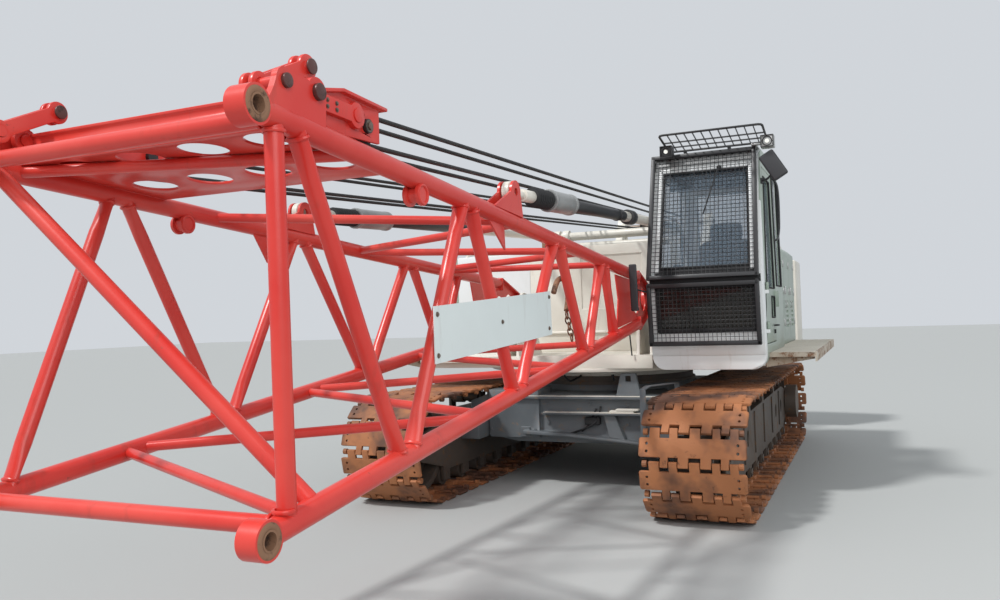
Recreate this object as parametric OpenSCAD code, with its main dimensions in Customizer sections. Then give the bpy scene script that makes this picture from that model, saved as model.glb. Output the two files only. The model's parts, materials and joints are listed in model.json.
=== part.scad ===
// Lattice boom crawler crane, parked with only the base section of its boom fitted.
// Millimetres. X runs forward along the boom, Y to the machine's left, Z up.
// Every module is drawn from the slewing axis at ground level and moved by placed().

/* [Tracks] */
// Distance between the centre lines of the two tracks
track_gauge = 2540; // [2450:10:2700]
// Length of a track over its shoes
track_length = 5100; // [4900:10:5400]
// Height of a track over its shoes
track_height = 900; // [870:5:940]
// Width of a track shoe
shoe_width = 760; // [700:10:800]
// Thickness of a shoe on its belt
shoe_thickness = 62; // [54:1:70]
// Number of shoes in one track
shoe_count = 49; // [44:1:52]
// Width of the joint between two shoes
shoe_gap = 26; // [14:1:34]
// Number of interlocking fingers across a shoe
finger_count = 5; // [3:2:5]
// How far the fingers of a shoe reach past each other
finger_reach = 22; // [10:1:30]
// Distance between the two webs of a side frame, centre to centre
frame_web_spacing = 330; // [300:5:380]
// Thickness of a side frame web
frame_web = 30; // [20:1:40]
// Number of track rollers under one side frame
roller_count = 10; // [8:1:11]
// Radius of a track roller's tread
roller_radius = 85; // [70:1:95]

/* [Car body] */
// Height of the underside of the car body above the ground
car_body_bottom = 390; // [340:5:430]
// Height of the top of the car body's cross beams
car_body_top = 820; // [790:5:840]
// Distance from the slewing axis to the front face of the front cross beam
cross_beam_front = 1180; // [1100:10:1300]
// Length of a cross beam along the machine
cross_beam_length = 560; // [480:10:640]
// Outer radius of the slewing ring
slew_ring_radius = 800; // [760:5:840]
// Height of the top of the fixed slewing race
slew_race_top = 960; // [940:5:970]

/* [Upper works] */
// Height of the underside of the revolving deck
deck_bottom = 1030; // [1010:5:1050]
// Height of the deck plate that the cab and houses stand on
deck_top = 1180; // [1150:5:1200]
// Half width of the upper works over the houses
house_half_width = 1620; // [1580:5:1650]
// Width of a catwalk
catwalk_width = 405; // [380:5:440]
// Height of the machinery houses above the deck plate
house_height = 1010; // [900:10:1100]
// Thickness of a house panel
house_wall = 40; // [20:5:60]
// Distance from the slewing axis to the rear of the counterweight
tail_radius = 3700; // [3500:10:3900]
// Height of the counterweight
counterweight_height = 1080; // [900:10:1200]
// Height of the gantry's sheave shaft
gantry_height = 2680; // [2600:10:2800]
// Distance from the slewing axis back to the gantry's sheave shaft
gantry_back = 2500; // [2300:10:2700]

/* [Cab] */
// Side of the cab next to the boom
cab_inner_y = 750; // [742:1:770]
// Width of the cab
cab_width = 920; // [880:5:960]
// Distance from the slewing axis to the foremost line of the windshield
cab_nose_x = 1500; // [1450:5:1560]
// Height of the foremost line of the windshield
cab_nose_z = 1800; // [1760:5:1840]
// Height of the cab roof
cab_roof_z = 2880; // [2840:5:2920]
// Thickness of the cab walls
cab_wall = 50; // [40:1:60]
// Thickness of the cab glass
glass = 8; // [5:1:12]

/* [Boom] */
// Distance from the slewing axis to the boom foot pins
foot_pin_x = 1050; // [1030:5:1070]
// Height of the boom foot pins
foot_pin_z = 1660; // [1650:5:1680]
// Distance from the foot pins to the pins at the end of the section
boom_length = 5350; // [5250:10:5450]
// Distance between the upper and lower chords at the end, centre to centre
boom_end_depth = 1349; // [1320:1:1370]
// Height of the lower chord at the end
boom_end_bottom = 880; // [870:1:900]
// Half width of the boom at the end, to the chord centres
boom_end_half_width = 738; // [720:1:750]
// Half width of the boom at the foot, to the chord centres
boom_foot_half_width = 630; // [622:1:634]
// Distance between the upper and lower chords over the foot pins
boom_foot_depth = 327; // [310:1:340]
// Diameter of a chord tube
chord_diameter = 88; // [82:1:98]
// Diameter of a lacing tube in the boom's sides
side_lacing_diameter = 66; // [56:1:70]
// Diameter of a lacing tube in the boom's top and underside
plan_lacing_diameter = 48; // [40:1:54]
// Radius of the eyes at the boom's end
eye_radius = 66; // [60:1:76]
// Radius of the pin bores at the boom's end
eye_bore = 30; // [24:1:34]
// Width of the eyes at the boom's end
eye_width = 80; // [70:1:100]
// Radius of the boom foot pins
foot_pin_radius = 40; // [32:1:44]
// Thickness of the thick part of a boom foot plate
foot_plate = 80; // [70:1:86]

/* [Rigging] */
// Diameter of a boom hoist rope
rope_diameter = 20; // [16:1:22]
// Radius of the sheaves to the bottom of their groove
sheave_groove_radius = 50; // [46:1:56]
// Outer radius of the sheaves
sheave_radius = 84; // [76:1:86]
// Distance along the boom from the foot pins to the backstop brackets
backstop_eye_along = 3210; // [3170:5:3240]
// Height of the backstop eyes above the foot pins
backstop_eye_up = 560; // [550:5:580]
// Distance from the slewing axis back to the backstops' pivot tube
backstop_pivot_back = 300; // [280:1:320]
// Height of the backstops' pivot tube
backstop_pivot_z = 2400; // [2385:1:2415]
// Radius of the backstops' pivot tube
pivot_tube_radius = 45; // [40:1:48]
// Radius of a backstop's rod
backstop_rod_radius = 40; // [34:1:42]
// Radius of a backstop's tube over most of its length
backstop_tube_radius = 53; // [50:1:56]

/* [Fits] */
// Gap left where a round piece is seated on another piece
seat = 0.3; // [0.2:0.1:0.5]
// Radial clearance of a pin or shaft in its bore
running = 0.05; // [0.02:0.01:0.1]
// Radial clearance of a backstop's rod in its tube
sliding = 0.5; // [0.2:0.1:0.8]

/* [Hidden] */
$fn = 48;

// Reach of the machine in front of and behind the slewing axis, and the shift to its middle
boom_end_x = foot_pin_x + boom_length;
front_reach = boom_end_x + eye_radius;
middle_shift = (tail_radius - front_reach) / 2;

// Both hands of the machine, and colours
HANDS = [1, -1];
red = [0.80, 0.16, 0.15];
cream = [0.90, 0.89, 0.85];
grey = [0.30, 0.33, 0.34];
rust = [0.66, 0.40, 0.22];
black = [0.08, 0.08, 0.09];
steel = [0.45, 0.44, 0.42];

module placed() {
    translate([middle_shift, 0, 0]) children();
}

// A flat shape in X and Z, made solid from y0 to y1
module xz_slab(y0, y1) {
    translate([0, y1, 0]) rotate([90, 0, 0]) linear_extrude(y1 - y0) children();
}

// A flat shape in Y and Z, made solid from x0 to x1
module yz_slab(x0, x1) {
    translate([x0, 0, 0]) rotate([90, 0, 90]) linear_extrude(x1 - x0) children();
}

// A box from its lowest to its highest corner
module block(low, high) {
    translate(low) cube(high - low);
}

// A cylinder along Y from y0 to y1, centred on a point in X and Z
module across(x, z, y0, y1, r) {
    translate([x, y0, z]) rotate([-90, 0, 0]) cylinder(h = y1 - y0, r = r);
}

// A straight round tube or bar between two points
module bar(a, b, d) {
    run = b - a;
    translate(a)
        rotate([0, acos(run[2] / norm(run)), atan2(run[1], run[0])])
            cylinder(h = norm(run), d = d);
}

function mix(a, b, t) = a + (b - a) * t;

// Tracks: a belt runs round two end circles, s is the distance along its middle line

end_radius = track_height / 2;
end_x = track_length / 2 - end_radius;
mid_radius = end_radius - shoe_thickness / 2;
inner_radius = end_radius - shoe_thickness;
straight = 2 * end_x;
half_turn = PI * mid_radius;
belt_length = 2 * (straight + half_turn);
shoe_pitch = belt_length / shoe_count;
track_y = track_gauge / 2;

// Point of the belt at distance s, moved out from the middle line by n
function belt_point(s, n) =
    let (r = mid_radius + n, d = (s % belt_length + belt_length) % belt_length)
    d < straight ? [d - end_x, end_radius + r]
    : d < straight + half_turn
        ? let (a = (d - straight) / mid_radius * 180 / PI) [end_x + r * sin(a), end_radius + r * cos(a)]
    : d < 2 * straight + half_turn ? [end_x - (d - straight - half_turn), end_radius - r]
    : let (a = (d - 2 * straight - half_turn) / mid_radius * 180 / PI)
        [-end_x - r * sin(a), end_radius - r * cos(a)];

module track_outline(phase) {
    out = shoe_thickness / 2;
    half = (shoe_pitch - shoe_gap) / 2;
    polygon([for (i = [0 : shoe_count - 1]) each [
        belt_point(i * shoe_pitch + phase - half, out),
        belt_point(i * shoe_pitch + phase + half, out),
        belt_point((i + 0.5) * shoe_pitch + phase, 0)
    ]]);
}

module belt_hole() {
    translate([-end_x, end_radius - inner_radius]) square([2 * end_x, 2 * inner_radius]);
    for (x = [-end_x, end_x]) translate([x, end_radius]) circle(r = inner_radius);
}

// One track: bands across its width, every second band with its joints moved on
module track(hand) {
    color(rust) placed() {
        low = hand * track_y - shoe_width / 2;
        band = shoe_width / finger_count;
        difference() {
            union() {
                for (i = [0 : finger_count - 1])
                    xz_slab(low + i * band, low + (i + 1) * band)
                        track_outline(i % 2 == 0 ? 0 : finger_reach);
            }
            xz_slab(low - 1, low + shoe_width + 1) belt_hole();
        }
    }
}

module track_left() { track(1); }
module track_right() { track(-1); }

// Side frames: two webs with round ends at the idler and the sprocket, and a box between

axle_radius = 55;
frame_end_radius = 130;
frame_bottom = 200;
frame_top = 660;
box_half_length = end_x - inner_radius - 60;
roller_z = end_radius - inner_radius + roller_radius + seat;
roller_pitch = 2 * (box_half_length + 60) / (roller_count - 1);
roller_hanger = 60;

module web_outline() {
    polygon([
        [-end_x, end_radius + frame_end_radius], [-box_half_length, frame_top],
        [box_half_length, frame_top], [end_x, end_radius + frame_end_radius],
        [end_x, end_radius - frame_end_radius], [box_half_length, frame_bottom],
        [-box_half_length, frame_bottom], [-end_x, end_radius - frame_end_radius]
    ]);
    for (x = [-end_x, end_x]) translate([x, end_radius]) circle(r = frame_end_radius);
}

module side_frame(hand) {
    y = hand * track_y;
    half = frame_web_spacing / 2;
    difference() {
        union() {
            for (side = HANDS)
                xz_slab(y + side * half - frame_web / 2, y + side * half + frame_web / 2) web_outline();
            // top and bottom plates and end diaphragms of the box between the webs
            block([-box_half_length, y - half, frame_top - 40], [box_half_length, y + half, frame_top]);
            block([-box_half_length, y - half, frame_bottom + 60], [box_half_length, y + half, frame_bottom + 90]);
            for (x = [-box_half_length, box_half_length - frame_web])
                block([x, y - half, frame_bottom + 60], [x + frame_web, y + half, frame_top]);
            // roller hangers under both webs
            for (i = [0 : roller_count - 1], side = HANDS) {
                x = (i - (roller_count - 1) / 2) * roller_pitch;
                block([x - roller_hanger, y + side * half - frame_web / 2, roller_z - 40],
                      [x + roller_hanger, y + side * half + frame_web / 2, frame_bottom + 60]);
            }
            // carrier roller posts on the top plate
            for (x = [-900, 0, 900], side = HANDS)
                block([x - 50, y + side * half - frame_web / 2, frame_top - 40],
                      [x + 50, y + side * half + frame_web / 2, carrier_z + 45]);
        }
        // axle bores of the idler and the sprocket
        for (x = [-end_x, end_x]) across(x, end_radius, y - half - frame_web, y + half + frame_web, axle_radius + seat);
        // roller and carrier roller bores
        for (i = [0 : roller_count - 1])
            across((i - (roller_count - 1) / 2) * roller_pitch, roller_z, y - half - frame_web,
                   y + half + frame_web, roller_axle + seat);
        for (x = [-900, 0, 900])
            across(x, carrier_z, y - half - frame_web, y + half + frame_web, roller_axle + seat);
        // hand holes in the outer web, as on the real frame's end
        for (x = [-1550, -1050, 1050, 1550])
            across(x, end_radius, y + hand * half - frame_web, y + hand * half + frame_web, 70);
    }
}

module side_frames() {
    color(grey) placed() for (hand = HANDS) side_frame(hand);
}

// Idlers at the front and toothed drive tumblers at the rear, each with its axle

wheel_half = frame_web_spacing / 2 - frame_web / 2 - 12;
axle_half = frame_web_spacing / 2 + frame_web / 2 + 25;
roller_half = frame_web_spacing / 2 + frame_web / 2 - 2;

module wheel_profile(r) {
    // rim, web and hub, from the axis out
    polygon([
        [0, -axle_half], [axle_radius, -axle_half], [axle_radius, -wheel_half], [110, -wheel_half],
        [110, -25], [r - 70, -25], [r - 55, -wheel_half], [r, -wheel_half],
        [r, wheel_half], [r - 55, wheel_half], [r - 70, 25], [110, 25],
        [110, wheel_half], [axle_radius, wheel_half], [axle_radius, axle_half], [0, axle_half]
    ]);
}

module idlers() {
    color(steel) placed() for (hand = HANDS)
        translate([end_x, hand * track_y, end_radius]) rotate([90, 0, 0])
            rotate_extrude($fn = 72) wheel_profile(inner_radius - seat);
}

sprocket_notches = 12;
drive_inner = frame_web_spacing / 2 + frame_web / 2 + 6;
drive_width = 120;

module sprockets() {
    color(steel) placed() for (hand = HANDS)
        translate([-end_x, hand * track_y, end_radius]) rotate([90, 0, 0])
            difference() {
                union() {
                    rotate_extrude($fn = 72) wheel_profile(inner_radius - seat);
                    // final drive housing outside the outer web
                    translate([0, 0, -hand * (drive_inner + drive_width / 2) - drive_width / 2])
                        cylinder(h = drive_width, r = 190);
                }
                for (i = [0 : sprocket_notches - 1])
                    rotate([0, 0, i * 360 / sprocket_notches]) translate([inner_radius, 0, -wheel_half - 1])
                        cylinder(h = 2 * wheel_half + 2, r = 42, $fn = 16);
            }
}

roller_axle = 28;
carrier_radius = 62;
carrier_z = 2 * end_radius - shoe_thickness - carrier_radius - seat;

module roller(r) {
    rotate([90, 0, 0]) rotate_extrude($fn = 40) polygon([
        [0, -roller_half], [roller_axle, -roller_half], [roller_axle, -wheel_half], [r, -wheel_half],
        [r, -30], [r - 14, -30], [r - 14, 30], [r, 30],
        [r, wheel_half], [roller_axle, wheel_half], [roller_axle, roller_half], [0, roller_half]
    ]);
}

module track_rollers() {
    color(steel) placed() for (hand = HANDS) {
        for (i = [0 : roller_count - 1])
            translate([(i - (roller_count - 1) / 2) * roller_pitch, hand * track_y, roller_z]) roller(roller_radius);
        for (x = [-900, 0, 900])
            translate([x, hand * track_y, carrier_z]) roller(carrier_radius);
    }
}

// Car body: cross beams between the side frames, a ring drum and the fittings on its front

beam_end_y = track_y - frame_web_spacing / 2 - frame_web / 2;
ring_seat = 880;

module cross_beam() {
    // a box beam, deeper in the middle than at the side frames
    yz_slab(cross_beam_front - cross_beam_length, cross_beam_front)
        polygon([[-beam_end_y, car_body_top - 60], [-beam_end_y + 160, car_body_top],
                 [beam_end_y - 160, car_body_top], [beam_end_y, car_body_top - 60],
                 [beam_end_y, car_body_bottom + 90], [620, car_body_bottom],
                 [-620, car_body_bottom], [-beam_end_y, car_body_bottom + 90]]);
    // worn edge plates along the front face
    block([cross_beam_front - 1, -620, car_body_top - 30], [cross_beam_front + 70, 800, car_body_top - 8]);
    block([cross_beam_front - 1, -340, 650], [cross_beam_front + 90, 830, 668]);
}

module car_body() {
    color(grey) placed() {
        cross_beam();
        rotate([0, 0, 180]) cross_beam();
        block([-cross_beam_front + 100, -640, car_body_bottom], [cross_beam_front - 100, 640, car_body_top]);
        difference() {
            translate([0, 0, car_body_bottom + 60]) cylinder(h = ring_seat - car_body_bottom - 60, r = slew_ring_radius - 30);
            translate([0, 0, car_body_top]) cylinder(h = 200, r = slew_ring_radius - 280);
        }
        // tall box and small box on the right of the front beam
        block([cross_beam_front - 300, -880, 430], [cross_beam_front + 40, -380, 870]);
        block([cross_beam_front, -1090, 430], [cross_beam_front + 230, -905, 620]);
        // swing lock post with its window
        difference() {
            yz_slab(cross_beam_front - 60, cross_beam_front - 20)
                polygon([[340, car_body_top - 1], [560, car_body_top - 1], [520, 1012], [385, 1012]]);
            block([cross_beam_front - 100, 425, 940], [cross_beam_front, 475, 990]);
        }
        // low tie plate with its clevis, and the gusset that carries it
        yz_slab(cross_beam_front, cross_beam_front + 110)
            polygon([[-520, 470], [-520, 505], [-60, 480], [820, 400], [820, 380], [-60, 455]]);
        block([cross_beam_front, -560, 440], [cross_beam_front + 60, -470, 530]);
        yz_slab(cross_beam_front, cross_beam_front + 60)
            polygon([[300, 400], [440, 400], [340, 655], [240, 655]]);
    }
}

module slew_ring() {
    color(steel) placed() difference() {
        union() {
            translate([0, 0, ring_seat]) cylinder(h = slew_race_top - ring_seat, r = slew_ring_radius - 22, $fn = 96);
            translate([0, 0, ring_seat]) cylinder(h = 26, r = slew_ring_radius, $fn = 96);
        }
        translate([0, 0, ring_seat - 1]) cylinder(h = slew_race_top, r = slew_ring_radius - 250, $fn = 96);
    }
}

// Deck: revolving frame with girders, boom foot ears, drum stands and the backstop stand

girder_y = 470;
girder_width = 60;
deck_rear = -tail_radius + 900;
deck_front = foot_pin_x + 190;
ear_gap = 5;
ear_thickness = 30;
ear_radius = 112;
shaft_radius = 45;
// place of each drum: x, z, drum radius, flange radius
front_drum_at = [-330, 1640, 240, 345];
rear_drum_at = [-1120, 1640, 240, 345];
boom_drum_at = [-1800, 1560, 180, 265];
drum_stand_y = 430;
drum_stand = 36;
stand_y = 585;
backstop_pivot_x = -backstop_pivot_back;

module drum_stand_plates(at) {
    for (hand = HANDS)
        difference() {
            xz_slab(hand * drum_stand_y - drum_stand / 2, hand * drum_stand_y + drum_stand / 2) {
                polygon([[at[0] - 210, deck_top - 1], [at[0] + 210, deck_top - 1], [at[0] + 80, at[1]],
                         [at[0] - 80, at[1]]]);
                translate([at[0], at[1]]) circle(r = 85);
            }
            across(at[0], at[1], -drum_stand_y - drum_stand, drum_stand_y + drum_stand, shaft_radius + running);
        }
}

module foot_ears() {
    for (hand = HANDS) {
        inner = boom_foot_half_width - foot_plate / 2 - ear_gap - ear_thickness;
        outer = boom_foot_half_width + foot_plate / 2 + ear_gap;
        for (y = [inner, outer])
            xz_slab(hand > 0 ? y : -y - ear_thickness, hand > 0 ? y + ear_thickness : -y) {
                polygon([[foot_pin_x - 420, deck_top - 1], [deck_front - 6, deck_top - 1],
                         [foot_pin_x + 100, foot_pin_z], [foot_pin_x - 108, foot_pin_z]]);
                translate([foot_pin_x, foot_pin_z]) circle(r = ear_radius);
            }
        // the pin, held in both ears
        across(foot_pin_x, foot_pin_z, hand > 0 ? inner : -outer - ear_thickness,
               hand > 0 ? outer + ear_thickness : -inner, foot_pin_radius - running);
    }
}

module deck() {
    color(cream) placed() {
        // moving slewing race
        difference() {
            translate([0, 0, slew_race_top]) cylinder(h = deck_bottom - slew_race_top + 1, r = slew_ring_radius - 20, $fn = 96);
            translate([0, 0, slew_race_top - 1]) cylinder(h = deck_bottom - slew_race_top + 1, r = slew_ring_radius - 230, $fn = 96);
        }
        // bottom plate with its round front, and the box frame above it
        intersection() {
            union() {
                translate([0, 0, deck_bottom]) cylinder(h = 30, r = deck_front + 30, $fn = 120);
                block([deck_rear, -700, deck_bottom], [0, 700, deck_bottom + 30]);
            }
            block([deck_rear, -house_half_width, 0], [deck_front + 30, house_half_width, 2000]);
        }
        block([deck_rear, -700, deck_bottom + 30], [deck_front, 700, deck_top]);
        // side decks under the cab and the houses
        for (hand = HANDS)
            block([-1760, hand > 0 ? 699 : -house_half_width, deck_top - 60],
                  [1200, hand > 0 ? house_half_width : -699, deck_top]);
        for (x = [-1700, -800, 200, 1080], hand = HANDS)
            block([x, hand > 0 ? 699 : -house_half_width, deck_bottom + 40],
                  [x + 60, hand > 0 ? house_half_width : -699, deck_top - 1]);
        foot_ears();
        drum_stand_plates(front_drum_at);
        drum_stand_plates(rear_drum_at);
        drum_stand_plates(boom_drum_at);
    }
}

module drum(at) {
    flange = 26;
    half = drum_stand_y - drum_stand / 2 - 14;
    end = drum_stand_y + drum_stand / 2 + 40;
    color(rust) placed() translate([at[0], 0, at[1]]) rotate([90, 0, 0]) rotate_extrude($fn = 60) polygon([
        [0, -end], [shaft_radius, -end], [shaft_radius, -half], [at[3], -half],
        [at[3], -half + flange], [at[2], -half + flange], [at[2], half - flange], [at[3], half - flange],
        [at[3], half], [shaft_radius, half], [shaft_radius, end], [0, end]
    ]);
}

module front_drum() { drum(front_drum_at); }
module rear_drum() { drum(rear_drum_at); }
module boom_hoist_drum() { drum(boom_drum_at); }

// Cab: a hollow shell with its windows and door opening cut through

cab_outer_y = cab_inner_y + cab_width;
cab_lean = 18;
cab_floor = 60;
cab_rear_x = 0;
windshield_top = [cab_nose_x - 270, cab_roof_z - 50];
cab_sill = [cab_nose_x - 50, deck_top + 110];

module cab_outline() {
    polygon([
        [cab_rear_x, deck_top], [cab_rear_x, cab_roof_z - 70], [cab_rear_x + 70, cab_roof_z],
        [windshield_top[0] - 90, cab_roof_z], windshield_top, [cab_nose_x, cab_nose_z], cab_sill,
        [cab_sill[0] - 10, deck_top]
    ]);
}

// Front view of the cab at a distance inside its skin: upright below the waist, leaning in above
module cab_section(inside) {
    y0 = cab_inner_y + inside;
    y1 = cab_outer_y - inside;
    over = 100;
    lean = cab_lean * (cab_roof_z + over - cab_nose_z) / (cab_roof_z - cab_nose_z);
    polygon([[y0, deck_top - over], [y0, cab_nose_z], [y0 + lean, cab_roof_z + over],
             [y1 - lean, cab_roof_z + over], [y1, cab_nose_z], [y1, deck_top - over]]);
}

// Both side walls of the cab, from one depth inside the skin to another
module side_walls(inside, deeper) {
    yz_slab(cab_rear_x - 100, cab_nose_x + 100) difference() {
        cab_section(inside);
        cab_section(deeper);
    }
}

module cab_hollow() {
    w = cab_wall;
    polygon([
        [cab_rear_x + w, deck_top + cab_floor], [cab_rear_x + w, cab_roof_z - 85],
        [cab_rear_x + 85, cab_roof_z - w], [windshield_top[0] - 110, cab_roof_z - w],
        windshield_top - [w + 10, 20], [cab_nose_x - w, cab_nose_z], [cab_sill[0] - w, deck_top + cab_floor + 50],
        [cab_sill[0] - w - 5, deck_top + cab_floor]
    ]);
}

// points on the windshield's outside, t from 0 at the nose to 1 at the top
function shield(t) = mix([cab_nose_x, cab_nose_z], windshield_top, t);
// points on the lower windshield's outside, t from 0 at the sill to 1 at the nose
function lower_shield(t) = mix(cab_sill, [cab_nose_x, cab_nose_z], t);

window_side = 60;
door_x0 = 640;
door_x1 = 1330;
door_z0 = deck_top + 75;
door_z1 = cab_roof_z - 150;

function shield_cut(t0, t1, deep) = [
    shield(t0) + [40, 12], shield(t1) + [40, 12], shield(t1) - [deep, 0.3 * deep], shield(t0) - [deep, 0.3 * deep]
];

module side_window_outline() {
    polygon([[130, 1700], [130, cab_roof_z - 160], [windshield_top[0] - 130, cab_roof_z - 160], [1300, 1700]]);
}

module door_opening_outline(inset) {
    g = inset;
    polygon([[door_x0 + g, door_z0 + g], [door_x0 + g, door_z1 - g], [door_x1 - 150 - 0.6 * g, door_z1 - g],
             [door_x1 - g, 1850 - 0.4 * g], [door_x1 - g, door_z0 + g]]);
}

module quarter_outline(inset) {
    translate([130 + inset, 1750 + inset]) square([door_x0 - 240 - 2 * inset, door_z1 - 1750 - 2 * inset]);
}

module bumper() {
    yz_slab(1120, cab_nose_x - 70) {
        low = deck_top - 120;
        translate([cab_inner_y, low + 110]) square([cab_width, 122]);
        translate([cab_inner_y + 110, low]) square([cab_width - 220, 200]);
        for (y = [cab_inner_y + 110, cab_outer_y - 110]) translate([y, low + 110]) circle(r = 110);
    }
}

module cab_shell() {
    color(cream) placed() difference() {
        union() {
            intersection() {
                xz_slab(cab_inner_y, cab_outer_y) cab_outline();
                yz_slab(cab_rear_x, cab_nose_x) cab_section(0);
            }
            bumper();
            // hinge lugs with their pins
            for (z = hinge_z) {
                block([hinge_x - hinge_radius, cab_outer_y - 20, z - 32], [hinge_x + hinge_radius, hinge_y, z - 2]);
                translate([hinge_x, hinge_y, z - 32]) cylinder(h = 30, r = hinge_radius);
                translate([hinge_x, hinge_y, z - 32]) cylinder(h = 92, r = hinge_pin - running);
            }
        }
        intersection() {
            xz_slab(cab_inner_y, cab_outer_y) cab_hollow();
            yz_slab(cab_rear_x, cab_nose_x) cab_section(cab_wall);
        }
        // bumper is cut clear of the side deck
        block([1000, cab_inner_y - 1, deck_top - 200], [1205, cab_outer_y + 1, deck_top]);
        // upper and lower windshield
        intersection() {
            xz_slab(cab_inner_y, cab_outer_y) polygon(shield_cut(0.06, 0.93, 90));
            yz_slab(cab_rear_x, cab_nose_x + 60) cab_section(window_side);
        }
        xz_slab(cab_inner_y + window_side, cab_outer_y - window_side)
            polygon([lower_shield(0.16) + [40, 0], lower_shield(0.90) + [40, 0],
                     lower_shield(0.90) - [90, 0], lower_shield(0.16) - [90, 0]]);
        // window beside the boom, rear window and roof hatch
        xz_slab(cab_inner_y - 1, cab_inner_y + 200) side_window_outline();
        block([cab_rear_x - 1, cab_inner_y + 150, 1900], [cab_rear_x + cab_wall + 1, cab_outer_y - 150, cab_roof_z - 200]);
        block([330, cab_inner_y + 200, cab_roof_z - cab_wall - 1], [830, cab_outer_y - 200, cab_roof_z + 1]);
        // quarter window behind the door
        xz_slab(cab_outer_y - 200, cab_outer_y + 1) quarter_outline(0);
        // door opening
        xz_slab(cab_outer_y - 200, cab_outer_y + 1) door_opening_outline(0);
    }
}

// Panes sit in the middle of the wall, a seat's clearance inside each opening
module cab_glass() {
    color([0.5, 0.6, 0.65, 0.4]) placed() {
        s = seat;
        y0 = cab_inner_y + window_side + s;
        y1 = cab_outer_y - window_side - s;
        intersection() {
            xz_slab(y0, y1) polygon([shield(0.062) - [30, 9], shield(0.928) - [30, 9],
                                     shield(0.928) - [30 + glass, 9 + 0.3 * glass],
                                     shield(0.062) - [30 + glass, 9 + 0.3 * glass]]);
            yz_slab(cab_rear_x, cab_nose_x) cab_section(window_side + s);
        }
        xz_slab(y0, y1) polygon([lower_shield(0.162) - [20, 0], lower_shield(0.898) - [20, 0],
                                 lower_shield(0.898) - [20 + glass, 0], lower_shield(0.162) - [20 + glass, 0]]);
        intersection() {
            union() {
                xz_slab(cab_inner_y, cab_inner_y + 200)
                    polygon([[130 + s, 1700 + s], [130 + s, cab_roof_z - 160 - s],
                             [windshield_top[0] - 130 - 2 * s, cab_roof_z - 160 - s], [1300 - 2 * s, 1700 + s]]);
                xz_slab(cab_outer_y - 200, cab_outer_y) quarter_outline(s);
            }
            side_walls(20, 20 + glass);
        }
        block([cab_rear_x + 20, cab_inner_y + 150 + s, 1900 + s],
              [cab_rear_x + 20 + glass, cab_outer_y - 150 - s, cab_roof_z - 200 - s]);
        block([330 + s, cab_inner_y + 200 + s, cab_roof_z - 30], [830 - s, cab_outer_y - 200 - s, cab_roof_z - 30 + glass]);
    }
}

// Door, hinged at its front edge, in the outer skin of the cab's left side
door_gap = 6;
hinge_x = door_x1 + 12;
hinge_y = cab_outer_y + 16;
hinge_radius = 12;
hinge_pin = 5;
hinge_z = [1380, 1700];

module door_window_outline(inset) {
    g = inset;
    polygon([[door_x0 + 80 + g, 1720 + g], [door_x0 + 80 + g, door_z1 - 80 - g],
             [door_x1 - 215 - 2 * g, door_z1 - 80 - g], [door_x1 - 80 - g, 1850 - g], [door_x1 - 80 - g, 1720 + g]]);
    translate([door_x0 + 80 + g, 1470 + g]) square([220 - 2 * g, 180 - 2 * g]);
}

module cab_door() {
    color(cream) placed() {
        difference() {
            intersection() {
                xz_slab(cab_outer_y - 200, cab_outer_y) door_opening_outline(door_gap);
                side_walls(0, cab_wall - 10);
            }
            xz_slab(cab_outer_y - 200, cab_outer_y + 1) door_window_outline(0);
        }
        // handle near the rear edge
        block([door_x0 + 20, cab_outer_y - 10, 1560], [door_x0 + 50, cab_outer_y + 34, 1700]);
        // hinge leaves with their knuckles
        for (z = hinge_z) difference() {
            union() {
                block([door_x1 - 80, cab_outer_y - 10, z], [door_x1 - 12, cab_outer_y + 12, z + 60]);
                block([door_x1 - 40, cab_outer_y + 6, z], [hinge_x, cab_outer_y + 24, z + 60]);
                translate([hinge_x, hinge_y, z]) cylinder(h = 60, r = hinge_radius);
            }
            translate([hinge_x, hinge_y, z - 1]) cylinder(h = 62, r = hinge_pin);
        }
    }
}

module door_glass() {
    color([0.5, 0.6, 0.65, 0.4]) placed() intersection() {
        xz_slab(cab_outer_y - 200, cab_outer_y) door_window_outline(seat);
        side_walls(16, 16 + glass);
    }
}

// Guard over the windshield: a frame of square tube with crossed rods in two flat panels
guard_off = 62;
guard_tube = 34;
guard_rod = 7;
guard_rods_across = 10;
guard_top = shield(0.98) + [guard_off, 20];
guard_mid = [cab_nose_x + guard_off, cab_nose_z];
guard_low = cab_sill + [guard_off, -30];

// a panel from a to b in side view, with its half widths at both ends
module guard_panel(a, b, half_a, half_b, rows) {
    run = b - a;
    length = norm(run);
    middle = cab_inner_y + cab_width / 2;
    translate([a[0], middle, a[1]]) rotate([0, -atan2(run[1], run[0]), 0]) {
        linear_extrude(guard_tube) difference() {
            polygon([[0, -half_a], [length, -half_b], [length, half_b], [0, half_a]]);
            polygon([[guard_tube, -half_a + guard_tube], [length - guard_tube, -half_b + guard_tube],
                     [length - guard_tube, half_b - guard_tube], [guard_tube, half_a - guard_tube]]);
        }
        translate([0, 0, 12]) linear_extrude(guard_rod) intersection() {
            polygon([[10, -half_a + 10], [length - 10, -half_b + 10], [length - 10, half_b - 10], [10, half_a - 10]]);
            union() {
                for (i = [1 : guard_rods_across])
                    translate([0, mix(-half_a, half_a, i / (guard_rods_across + 1)) - guard_rod / 2])
                        square([length, guard_rod]);
                for (i = [1 : rows])
                    translate([length * i / (rows + 1) - guard_rod / 2, -half_a]) square([guard_rod, 2 * half_a]);
            }
        }
    }
}

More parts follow.
